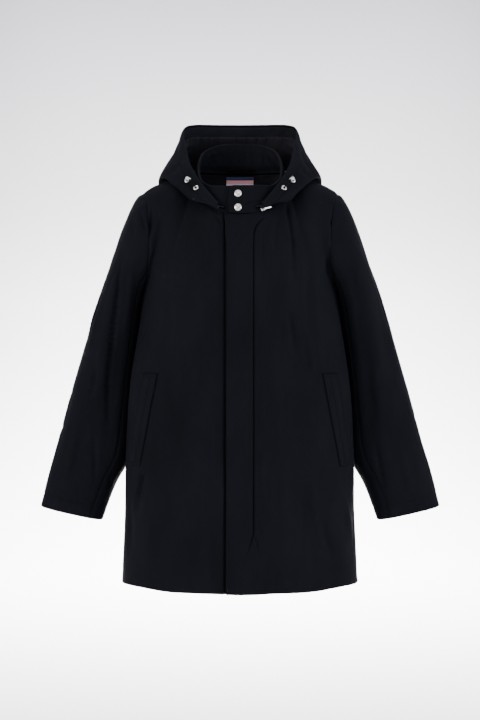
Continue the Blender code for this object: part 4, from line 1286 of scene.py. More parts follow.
class Surface:
    """A finished piece's skin, to lay lines on."""

    def __init__(self, pieces: Sequence[Piece]) -> None:
        """Reads the skins of pieces before their thickness."""
        points: list[Vector] = []
        faces: list[tuple[int, ...]] = []
        for piece in pieces:
            start = len(points)
            points += [vertex.co.copy() for vertex in piece.data.vertices]
            faces += [tuple(start + k for k in face.vertices) for face in piece.data.polygons]
        self.tree = BVHTree.FromPolygons(points, faces)

    def under(self, line: Line, count: int) -> tuple[Array, Array]:
        """Drops a line drawn on the front onto the skin.

        Args:
            line: Places across and up.
            count: How many points to drop.

        Returns:
            The points and normals that were hit.
        """
        knots = np.array(line, float)
        spread = lengths(knots)
        points, normals = [], []
        for across, up in smooth(spread, knots, np.linspace(0, spread[-1], count)):
            hit, normal, _, _ = self.tree.ray_cast(Vector((across, -1.0, up)), Vector((0.0, 1.0, 0.0)))
            if hit is not None:
                points.append(np.array(hit))
                normals.append(np.array(normal if normal.y < 0 else -normal))
        return np.array(points), np.array(normals)


# Folds and creases.


@dataclass(frozen=True)
class BodyFold:
    """A large soft fold down the body, which the solids have too."""

    across: float
    lean: float
    top_z: float
    bottom_z: float
    half_width: float
    height: float

    def rise(self, across_m: Array, z: Array) -> Array:
        """How far it stands out at places on the cloth."""
        down = (self.top_z - z) / (self.top_z - self.bottom_z)
        middle = self.across + self.lean * (down - 0.5)
        body = np.sin(np.pi * np.clip(down, 0, 1)) ** 1.5
        return self.height * body * bell(across_m - middle, self.half_width)


FRONT_FOLDS = (
    BodyFold(0.098, 0.05, -0.130, -0.400, 0.020, 0.0030),
    BodyFold(0.135, 0.02, -0.260, -0.640, 0.024, 0.0035),
    BodyFold(0.075, -0.03, -0.420, -0.800, 0.024, 0.0030),
    BodyFold(-0.105, 0.02, -0.180, -0.470, 0.024, 0.0030),
    BodyFold(-0.080, -0.02, -0.520, -0.840, 0.026, 0.0025),
    BodyFold(-0.185, 0.00, -0.560, -0.850, 0.024, 0.0030),
    BodyFold(0.190, 0.00, -0.600, -0.860, 0.026, 0.0030),
)
BACK_FOLDS = (
    BodyFold(0.110, 0.03, -0.160, -0.520, 0.026, 0.0035),
    BodyFold(-0.095, -0.02, -0.220, -0.600, 0.026, 0.0035),
    BodyFold(0.040, 0.00, -0.450, -0.820, 0.028, 0.0030),
    BodyFold(-0.160, 0.02, -0.520, -0.840, 0.026, 0.0030),
)
FRONT_CREASES = drawn(
    Face.FRONT,
    ("-53 -99, -43 -113, -36 -131", -1.4, 3.2, 0.3),
    ("-36 -107, -30 -123, -28 -137", -1.1, 3),
    ("-182 -73, -186 -105, -188 -154", -3, 5, 0.5),
    ("-166 -99, -178 -139, -184 -200", 1.6, 8.5, -0.2),
    ("-142 -196, -146 -338, -150 -403", -1.4, 11, 0.2),
    ("-87 -277, -83 -439, -89 -621", -1.2, 15),
    ("-126 -277, -119 -419, -130 -561", 1.2, 12, 0.3),
    ("-53 -156, -57 -277, -51 -399", -0.9, 9),
    ("-200 -626, -209 -672, -221 -731", -3.8, 6.5, 0.5, 0.15, 0.6),
    ("-188 -633, -196 -692, -205 -743", 2, 8.5, 0.0, 0.3, 0.6),
    ("-162 -723, -172 -790, -182 -840", -1.8, 15),
    ("-111 -743, -104 -800, -101 -854", 1.4, 16),
    ("-55 -723, -49 -804, -53 -864", -1.5, 8.5, 0.3, 0.5, 0.2),
    ("-72 -798, -64 -826, -59 -852", 1, 6),
    ("-30 -560, -34 -660, -33 -760", 1.2, 6),
    ("6 -131, 4 -156, 6 -176", -0.8, 3.5),
    ("16 -133, 14 -150, 15 -168", 0.7, 3.5),
    ("93 -70, 99 -99, 105 -139, 107 -200, 103 -277", -3.4, 5.8, 0.6, 0.08, 0.75),
    ("101 -85, 109 -125, 113 -180", 1.9, 7.5, 0.0, 0.3, 0.6),
    ("79 -87, 73 -139, 69 -200", -1.4, 6, 0.2),
    ("47 -121, 45 -166, 49 -237", -1.1, 4),
    ("57 -124, 59 -150, 61 -186", 0.9, 4.5),
    ("121 -125, 128 -200, 130 -277", 1.7, 9.5),
    ("99 -257, 105 -314, 113 -360, 121 -423", -2.4, 7, -0.5),
    ("85 -277, 81 -378, 85 -480, 79 -581", -1.4, 8.5, 0.3),
    ("63 -257, 61 -399, 65 -540", 1.2, 9),
    ("142 -176, 140 -277, 144 -368", -1.7, 9.5, -0.3),
    ("162 -200, 158 -297, 164 -382", 1.5, 9.5),
    ("134 -328, 142 -382, 148 -427", 2.4, 6, 0.4, 0.5, 0.2),
    ("121 -621, 128 -723, 121 -804", -1.8, 9.5, 0.3),
    ("145 -600, 148 -670, 156 -745", 1.6, 8),
    ("73 -561, 77 -682, 71 -793", -1.2, 11),
    ("158 -692, 174 -759, 192 -826", -2.1, 8, 0.4),
    ("202 -642, 215 -690, 227 -749, 233 -795", 2.4, 6.5, 0.3),
    ("217 -89, 198 -105, 181 -123", -4, 4.5, 0.4, 0.2, 0.6),
    ("188 -150, 182 -200, 186 -247", -2.4, 6, 0.4),
    ("36 -723, 41 -746, 47 -773", -1, 4),
    ("63 -621, 64 -657, 63 -692", 1.1, 4.5),
    ("45 -561, 46 -620, 45 -682", 0.8, 6),
    ("29 -757, 35 -779, 38 -808", -1.7, 3.4, 0.3, 0.15, 0.7),
)
FLY_LINE = (
    (0.0490, -0.1085), (0.0395, -0.1165), (0.0325, -0.1270), (0.0285, -0.1410), (0.0277, -0.1600),
    (0.0277, -0.3580), (0.0277, -0.5610), (0.0277, -0.7500),
)
FLY_TAIL = ((0.0277, -0.7500), (0.0240, -0.7660), (0.0185, -0.7820), (0.0112, -0.8060))
BACK_CREASES = drawn(
    Face.BACK,
    ("-100 -110, -94 -200, -100 -310", -2.6, 8.5, 0.5),
    ("105 -100, 100 -190, 108 -290", -2.3, 8, -0.5),
    ("125 -120, 121 -220, 126 -330", 1.9, 10),
    ("30 -220, 35 -330, 28 -460", -1.8, 10, 0.3),
    ("-45 -250, -40 -400, -50 -520", 1.9, 11),
    ("-72 -300, -66 -420, -75 -560", -1.8, 7.5, 0.4),
    ("-150 -200, -145 -300, -150 -420", 2.1, 9),
    ("150 -220, 148 -340, 155 -450", -2.3, 8, 0.4),
    ("80 -340, 86 -440, 79 -560", 1.6, 9),
    ("-120 -500, -125 -620, -118 -760", -2.1, 9.5, 0.3),
    ("80 -580, 86 -690, 78 -830", -2.1, 9.5, -0.4),
    ("0 -600, 6 -720, 0 -845", 1.5, 11),
    ("135 -520, 131 -640, 138 -790", 1.9, 9.5),
    ("172 -550, 177 -680, 184 -800", -2.1, 8, 0.3),
    ("-180 -560, -186 -700, -190 -820", -2.2, 8, 0.3),
    ("-40 -620, -36 -730, -42 -840", -1.4, 9),
    ("-176 -165, -145 -215, -118 -285", 2.8, 8, 0.5, 0.1, 0.7),
    ("178 -175, 152 -235, 135 -310", 2.5, 8.5, -0.5, 0.1, 0.7),
    ("-184 -135, -162 -160, -146 -205", -2.3, 6, 0.3, 0.1, 0.7),
    ("187 -145, 166 -176, 153 -225", -2.1, 6, 0.3, 0.1, 0.7),
    ("120 -45, 138 -70, 150 -110", -1.4, 6),
    ("-118 -48, -140 -80, -149 -125", -1.6, 6),
)
SIDE_CREASES = drawn(
    Face.LEFT,
    ("-20 -290, -35 -360, -30 -450", -2.2, 8, 0.4),
    ("30 -280, 38 -380, 30 -500", -2, 8.5),
    ("60 -330, 58 -450, 66 -590", 1.8, 10),
    ("-50 -640, -44 -720, -50 -810", -1.8, 8.5),
    ("18 -600, 24 -710, 18 -830", 1.7, 10),
) + drawn(
    Face.RIGHT,
    ("-28 -280, -40 -350, -36 -430", -2.1, 8, 0.4),
    ("36 -300, 30 -400, 40 -520", -1.9, 9),
    ("68 -340, 62 -470, 70 -610", 1.7, 9.5),
    ("-56 -650, -62 -740, -56 -830", -1.9, 8),
    ("12 -610, 6 -720, 14 -820", 1.6, 10),
)


@dataclass(frozen=True)
class SleeveFold:
    """A large soft fold down a sleeve, which the solids have too."""

    start_deg: float
    end_deg: float
    start: float
    end: float
    half_deg: float
    height: float

    def rise(self, degrees: Array, along: float) -> Array:
        """How far it stands out round one ring."""
        share = (along - self.start) / (self.end - self.start)
        if not 0 < share < 1:
            return np.zeros_like(degrees)
        off = wrapped(degrees - self.start_deg - (self.end_deg - self.start_deg) * share)
        return self.height * math.sin(math.pi * share) * bell(off, self.half_deg)


SLEEVE_FOLDS = (
    SleeveFold(292, 268, 0.10, 0.62, 15, 0.0055),
    SleeveFold(262, 250, 0.20, 0.80, 12, -0.0035),
    SleeveFold(325, 300, 0.30, 0.95, 16, 0.0040),
    SleeveFold(60, 80, 0.12, 0.60, 16, 0.0050),
    SleeveFold(30, 55, 0.45, 0.95, 16, 0.0040),
)
SLEEVE_CREASES = drawn(
    Face.FRONT,
    ("-245 -139, -255 -238, -268 -357, -278 -465, -277 -562", -3.6, 6.8, 0.5, 0.3, 0.35),
    ("-303 -534, -305 -576, -305 -629, -303 -670", -2.2, 5.2, 0.4),
    ("-303 -403, -307 -445, -315 -482", -2.4, 4.6, 0.4),
    ("-219 -169, -230 -273, -242 -367", 1.9, 8),
    ("-265 -620, -272 -649, -280 -681", -1.4, 3.4),
    ("-293 -252, -309 -357, -326 -461", 1.7, 10),
    ("-211 -77, -203 -110, -194 -144", -2.6, 4.5, 0.3),
    ("-226 -91, -222 -131, -224 -173", -1.4, 5.5),
    ("-339 -524, -355 -608, -370 -666", 1.4, 9),
    ("224 -169, 240 -273, 253 -367", -1.5, 9, 0.3),
    ("212 -284, 222 -399, 236 -503, 242 -549", -1.8, 7.5, 0.4),
    ("303 -273, 324 -399, 339 -503", 1.5, 11),
    ("276 -545, 293 -629, 305 -691", -1.9, 6, 0.4),
    ("234 -81, 247 -110, 251 -148", -1.8, 6, 0.3),
    ("263 -336, 272 -461, 288 -566", -1.4, 9, 0.3),
    ("330 -566, 347 -629, 359 -683", 1.5, 8),
    ("268 -119, 284 -185, 295 -252", -1.2, 9),
) + drawn(
    Face.BACK,
    ("240 -150, 262 -250, 276 -350", -2.6, 8, 0.4),
    ("285 -220, 300 -310, 310 -400", 2, 9),
    ("262 -440, 290 -465, 316 -470", -2.6, 6.5, 0.5),
    ("270 -490, 300 -512, 326 -520", -2.1, 6, 0.5),
    ("300 -560, 330 -600, 350 -660", -1.8, 7, 0.3),
    ("-245 -160, -258 -260, -280 -370", -2.4, 8, 0.4),
    ("-288 -230, -305 -320, -312 -410", 2.1, 9),
    ("-256 -450, -288 -480, -318 -482", -2.7, 6.5, 0.5),
    ("-274 -505, -304 -530, -330 -534", -1.9, 6, 0.5),
    ("-304 -570, -328 -620, -352 -672", -1.9, 7, 0.3),
) + drawn(
    Face.LEFT,
    ("30 -120, 46 -220, 40 -330", -2.2, 8, 0.3),
    ("0 -180, -10 -280, 4 -380", 1.8, 9),
    ("60 -430, 30 -450, 4 -440", -1.1, 8, 0.4),
    ("50 -500, 24 -520, -6 -515", -0.8, 8, 0.4),
) + drawn(
    Face.RIGHT,
    ("26 -110, 40 -230, 34 -340", -2.2, 8, 0.3),
    ("-4 -190, -12 -290, 2 -390", 1.8, 9),
    ("58 -445, 28 -470, 0 -462", -1, 8, 0.4),
    ("46 -520, 20 -540, -10 -532", -0.8, 8, 0.4),
)
HOOD_CREASES = drawn(
    Face.FRONT,
    ("47 -92, 58 -88, 70 -82", -1.3, 6),
    ("118 58, 135 22, 152 -12", -2.4, 6.5, 0.4),
    ("104 10, 126 -14, 146 -32", 1.7, 6.5),
    ("92 -22, 108 -40, 124 -50", -1.4, 5),
    ("-113 40, -131 6, -152 -16", -2.2, 7, 0.4),
    ("-101 -2, -120 -26, -134 -44", 1.5, 6.5),
    ("-86 -32, -100 -50, -112 -58", -1.3, 5),
) + drawn(
    Face.BACK,
    ("66 95, 74 20, 64 -60", -3, 9.5, 0.4),
    ("30 100, 26 30, 34 -60", 2.2, 11),
    ("-20 90, -26 10, -16 -80", -2, 9.5, 0.3),
    ("-55 85, -62 0, -50 -80", 2.4, 11),
    ("-88 60, -100 -15, -84 -90", -3.2, 8.5, 0.5),
    ("95 40, 107 -35, 92 -110", 2.2, 9.5),
    ("110 10, 128 -45, 118 -100", -2.6, 7.5, 0.4),
) + drawn(
    Face.LEFT,
    ("30 60, 80 20, 120 -35", -2.4, 8, 0.4),
    ("60 70, 110 20, 150 -50", 2, 9),
) + drawn(
    Face.RIGHT,
    ("20 55, 74 12, 112 -50", -2.3, 8, 0.4),
    ("64 60, 116 8, 150 -60", 2.1, 9),
)
COLLAR_CREASES = drawn(
    Face.FRONT,
    ("10 -81.5, 20 -78.5, 32 -75.8, 45 -74.8", -1.3, 2.2, 0.2, 0.1, 0.1),
    ("-20 -60, -26 -75, -24 -92", -0.8, 5),
)


def graded(stops: Sequence[float], pitches: Sequence[float]) -> Array:
    """Rising places with a pitch of their own between each two stops."""
    parts = [
        np.linspace(low, high, max(int(round((high - low) / pitch)), 1) + 1)[:-1]
        for low, high, pitch in zip(stops[:-1], stops[1:], pitches)
    ]
    return np.concatenate(parts + [[stops[-1]]])


# Sub-assemblies.


@dataclass
class Body:
    """The two fronts with their fly, and the back."""

    finishes: Wardrobe
    pitch: float = 0.0042
    fine_pitch: float = 0.0017
    seam_band: float = 0.012
    fly_band: float = 0.046
    chest_rows: int = 62
    low_rows: int = 150
    top_band: float = 0.94
    top_rows: int = 9
    fold_fade: float = 0.12
    fly_edge_puff: float = 0.0014
    fly_groove: float = 0.0034
    fly_groove_width: float = 0.0017
    fly_lip: float = 0.0007
    fly_lip_out: float = 0.0045
    fly_lip_width: float = 0.0025
    fly_pucker: float = 0.0007
    groove_pitch: float = 0.0008
    lap_trough: float = 0.0045
    lap_trough_x: float = -0.0295
    lap_trough_width: float = 0.0032
    corner_rise: float = 0.0075
    corner_from: float = 0.130
    corner_reach: float = 0.105
    corner_rows: int = 36
    surface: Surface | None = None

    @property
    def ups(self) -> Array:
        """The climbing rows' shares, finer by the neck and shoulder seams."""
        steps = (self.top_band / self.chest_rows, (1 - self.top_band) / self.top_rows)
        return graded((0.0, self.top_band, 1.0), steps)

    def front(self, side: Side) -> Panel:
        """The skin of one front.

        Args:
            side: The wearer's side that it covers.

        Returns:
            The panel, with its folds and creases.
        """
        half = BODY.chest_half
        edge = half - self.seam_band
        if side is Side.LEFT:
            line = FLY_LINE[-1][0]
            stops = (BODY.fly_edge, line - 0.008, line + 0.008, self.fly_band + 0.01, edge, half)
            pitches = (0.0022, self.groove_pitch, 0.0022, self.pitch, self.fine_pitch)
        else:
            line = -self.lap_trough_x
            stops = (-BODY.underlap, line - 0.009, line + 0.010, edge, half)
            pitches = (self.pitch, 0.0012, self.pitch, self.fine_pitch)
        across = graded(stops, pitches) / half
        grid = BODY.skin(across, self.low_rows, self.ups, False)
        droop = BODY.hem_droop * np.clip(1 - np.abs(grid[0, :, 0]) / BODY.hem_half_width, 0, 1)
        fade = np.clip(1 - np.arange(len(grid)) / 12, 0, 1)
        grid[:, :, 2] -= fade[:, None] * droop[None, :]
        self.lift_corners(grid)
        sign = side.value
        panel = sided(grid, side)
        for fold in FRONT_FOLDS:
            rise = fold.rise(np.broadcast_to(across * half * sign, grid.shape[:2]), grid[:, :, 2])
            panel.raised += rise * ease((1 - across) / self.fold_fade)
        if side is Side.LEFT:
            panel.raised += BODY.fly_raise(across * half)[None, :]
        panel.settle().creased(FRONT_CREASES + SIDE_CREASES)
        if side is Side.LEFT:
            self.shape_fly(panel, across * half)
        else:
            away = panel.base[..., 0] - self.lap_trough_x
            panel.raised -= self.lap_trough * bell(away, self.lap_trough_width)
        return panel

    def lift_corners(self, grid: Array) -> None:
        """Curves the hem up towards the side seams."""
        rise = self.corner_rise * ease((np.abs(grid[0, :, 0]) - self.corner_from) / self.corner_reach)
        fade = ease(1 - np.arange(len(grid)) / self.corner_rows)
        grid[:, :, 2] += fade[:, None] * rise[None, :]

    def shape_fly(self, panel: Panel, across_m: Array) -> None:
        """Puffs the fly between its edge and its stitches, and sinks the stitch line.

        Args:
            panel: The left front.
            across_m: How far each column is from the middle.
        """
        share = np.clip((across_m - BODY.fly_edge) / (BODY.fly_stitch - BODY.fly_edge), 0, 1)
        panel.raised += self.fly_edge_puff * np.sin(np.pi * share) ** 0.8
        knots = np.array(FLY_LINE + FLY_TAIL[1:])
        down = -panel.base[..., 2]
        slope = np.interp(down, -knots[:, 1], np.gradient(knots[:, 0], knots[:, 1]))
        gap = panel.base[..., 0] - np.interp(down, -knots[:, 1], knots[:, 0])
        gap = gap / np.sqrt(1 + slope**2)
        fade = ease((down + knots[0, 1] + 0.002) / 0.012) * ease((-knots[-1, 1] - down) / 0.05)
        panel.raised -= self.fly_groove * bell(gap, self.fly_groove_width) * fade
        gap = np.abs(gap)
        panel.raised += self.fly_lip * bell(gap - self.fly_lip_out, self.fly_lip_width) * fade
        below = ease((-0.13 - panel.base[..., 2]) / 0.03) * ease((panel.base[..., 2] + 0.76) / 0.03)
        lumps = noise(panel.v / 0.013, panel.u / 0.03, 5)
        panel.raised += self.fly_pucker * lumps * np.exp(-gap / 0.008) * below * ease(gap / 0.002)

    def back(self) -> Panel:
        """The skin of the back."""
        half = BODY.chest_half
        right = graded((0.0, half - self.seam_band, half), (self.pitch, self.fine_pitch)) / half
        across = np.concatenate([-right[:0:-1], right])
        grid = BODY.skin(across, self.low_rows, self.ups, True)
        self.lift_corners(grid)
        panel = Panel(grid, flip=True)
        for fold in BACK_FOLDS:
            rise = fold.rise(np.broadcast_to(across * half, grid.shape[:2]), grid[:, :, 2])
            panel.raised += rise * ease((1 - np.abs(across)) / self.fold_fade)
        return panel.settle().creased(BACK_CREASES + SIDE_CREASES)

    def build(self) -> list[Piece]:
        """Makes the fronts, the back and their stitches."""
        cloth, inside = self.finishes.shell, self.finishes.inside
        pieces = []
        sewn = Stitching()
        fronts = []
        for side in Side:
            name = side.name.lower()
            panel = self.front(side)
            seed = 11 if side is Side.LEFT else 12
            panel.ripple(0.0008, 0.021, 0.17, seed).ripple(0.0003, 0.009, 0.06, seed + 4)
            panel.seam([Edge.RIGHT, Edge.TOP], 20 if side is Side.LEFT else 30, flat=Edge.BOTTOM)
            turned = [Edge.LEFT, Edge.BOTTOM] if side is Side.LEFT else [Edge.BOTTOM]
            piece = panel.build(f"front_{name}_cloth", cloth, inside, turned)
            panel.declare(piece, "hung", ["back_cloth", "collar_cloth"])
            pieces.append(stand_for(piece, f"front_{name}"))
            fronts.append(piece)
        self.surface = Surface(fronts)
        sewn.run(*self.surface.under(FLY_LINE, 400))
        sewn.run(*self.surface.under(FLY_TAIL, 60))
        pieces.append(go_with(sewn.build("front_stitches", self.finishes.thread)))
        panel = self.back().ripple(0.0009, 0.025, 0.19, 13).ripple(0.0003, 0.010, 0.07, 18)
        panel.seam([Edge.LEFT, Edge.RIGHT, Edge.TOP], 40, flat=Edge.BOTTOM)
        piece = panel.build("back_cloth", cloth, inside, [Edge.BOTTOM])
        panel.declare(piece, "hung", ["collar_cloth"])
        pieces.append(stand_for(piece, "back"))
        return pieces


@dataclass
class Sleeves:
    """Both two-piece sleeves."""

    finishes: Wardrobe
    columns: int = 78
    under_columns: int = 38
    edge_share: float = 0.035
    edge_steps: int = 7
    cap_rows: int = 30
    cap_edge: float = 0.09
    cap_edge_rows: int = 7
    rows: int = 124
    cuff_stitch: float = 0.025

    def shares(self, columns: int) -> Array:
        """Column places, finer by both seams."""
        edge = self.edge_share
        pitches = (edge / self.edge_steps, (1 - 2 * edge) / columns, edge / self.edge_steps)
        return graded((0.0, edge, 1 - edge, 1.0), pitches)

    @property
    def caps(self) -> Array:
        """The cap's rows, finer by the armhole."""
        pitches = (self.cap_edge / self.cap_edge_rows, (1 - self.cap_edge) / self.cap_rows)
        return graded((0.0, self.cap_edge, 1.0), pitches)

    def build(self) -> list[Piece]:
        """Makes the upper and under pieces of both sleeves."""
        front, back = SLEEVE.front_seam_cuff_deg, SLEEVE.back_seam_cuff_deg
        seams = {
            "top": ((225.0 - 360, front - 360), (135.0, back), self.columns),
            "under": ((135.0, back), (225.0, front), self.under_columns),
        }
        pieces = []
        for side in Side:
            name = side.name.lower()
            sewn = Stitching(0.0036, 0.0028)
            for number, (part, (start, end, columns)) in enumerate(seams.items()):
                grid = SLEEVE.skin(start, end, self.shares(columns), self.caps, self.rows)
                panel = sided(grid, side).creased(SLEEVE_CREASES)
                seed = 50 + 2 * number + (side is Side.LEFT)
                panel.ripple(0.0008, 0.019, 0.12, seed).ripple(0.0003, 0.008, 0.05, seed + 5)
                panel.seam([Edge.LEFT, Edge.RIGHT], 60 + 4 * seed, 0.0014, 0.0035, 0.0006, 0.009,
                           flat=Edge.BOTTOM)
                panel.seam([Edge.TOP], 70 + seed, 0.0020, 0.0048, 0.0012, 0.013, 0.020)
                panel.groove(Edge.BOTTOM, self.cuff_stitch, 0.0008, 0.0024, seed)
                sewn.run(*panel.line(Edge.BOTTOM, self.cuff_stitch, 0.01, 0.99))
                piece = panel.build(f"sleeve_{part}_{name}_cloth", self.finishes.shell,
                                    self.finishes.inside, [Edge.BOTTOM])
                panel.declare(piece, "hung", [f"front_{name}_cloth", "back_cloth"])
                pieces.append(stand_for(piece, f"sleeve_{part}_{name}"))
            cuff = sewn.build(f"cuff_stitches_{name}", self.finishes.thread)
            pieces.append(go_with(cuff))
        return pieces


@dataclass
class Collar:
    """The stand collar."""

    finishes: Wardrobe
    columns: int = 260
    rows: int = 24
    roll: float = 0.0036
    end_taper: float = 0.012
    least_gap: float = 0.0011
    gather: float = 0.0064
    gather_deg: float = 130.0
    gather_spread: float = 27.0
    wall: float = 0.0005

    def lined(self, panel: Panel, band: Array) -> tuple[Array, Array]:
        """The outer skin, a soft roll over its top edge and the padded, gathered inner side.

        Args:
            panel: The collar's outer side.
            band: The angles of its columns.

        Returns:
            The whole skin and its texture coordinates.
        """
        skin = panel.points
        normals = grid_normals(skin)
        ends = np.minimum(panel.u, panel.u[:, -1:] - panel.u)
        half = self.roll * (0.22 + 0.78 * ease(ends / self.end_taper))
        half *= 1 + 0.15 * noise(panel.u / 0.03, 0 * panel.v, 84)
        size, out = half[-1][:, None], normals[-1]
        rise = unit(skin[-1] - skin[-3])
        rise = unit(rise - out * (rise * out).sum(axis=1, keepdims=True))
        turn = np.linspace(0, math.pi, 13)[1:-1]
        roll = [skin[-1] + rise * size * math.sin(a) - out * size * (1 - math.cos(a)) for a in turn]
        sides = 0.22 + bell(np.abs(wrapped(band)) - self.gather_deg, self.gather_spread)
        below = panel.distance(Edge.TOP)
        folds = np.abs(noise(panel.u / 0.014 + 0.4 * noise(below / 0.02, 0 * below, 86), below / 0.06, 85))
        folds = folds * sides[None, :] * ease(below / 0.016) * self.gather
        close = 0.16 + 0.84 * ease(panel.v / 0.018)
        apart = np.maximum(2 * half * close, self.least_gap) + folds * close
        inner = (skin - normals * apart[..., None])[::-1]
        grid = np.concatenate([skin, np.stack(roll), inner])
        high = panel.v[-1:]
        turned_v = [high + self.roll * a for a in turn]
        back = high + math.pi * self.roll + below[::-1]
        heights = np.concatenate([panel.v, np.concatenate(turned_v), back])
        return grid, np.stack([np.resize(panel.u[-1], heights.shape), heights], axis=2)

    def build(self) -> list[Piece]:
        """Makes the collar and its stitches."""
        band = np.linspace(COLLAR.over_deg, COLLAR.under_deg, self.columns + 1)
        panel = Panel(COLLAR.skin(band, np.linspace(0, 1, self.rows + 1))).creased(COLLAR_CREASES)
        panel.ripple(0.0006, 0.017, 0.05, 81).seam([Edge.BOTTOM], 82, 0.0018, 0.004)
        piece = mesh_from_grid("collar_cloth", *self.lined(panel, band), False, self.finishes.shell)
        give_wall(piece, self.finishes.inside, self.wall)
        panel.declare(piece, "hung", ["back_cloth"], layers=2)
        pieces = [stand_for(piece, "collar")]
        surface = Surface([piece])
        sewn = Stitching(0.0032, 0.0025, 0.00032)
        sewn.run(*surface.under(COLLAR_CREASES[0].path, 60))
        pieces.append(go_with(sewn.build("collar_stitches", self.finishes.thread)))
        return pieces


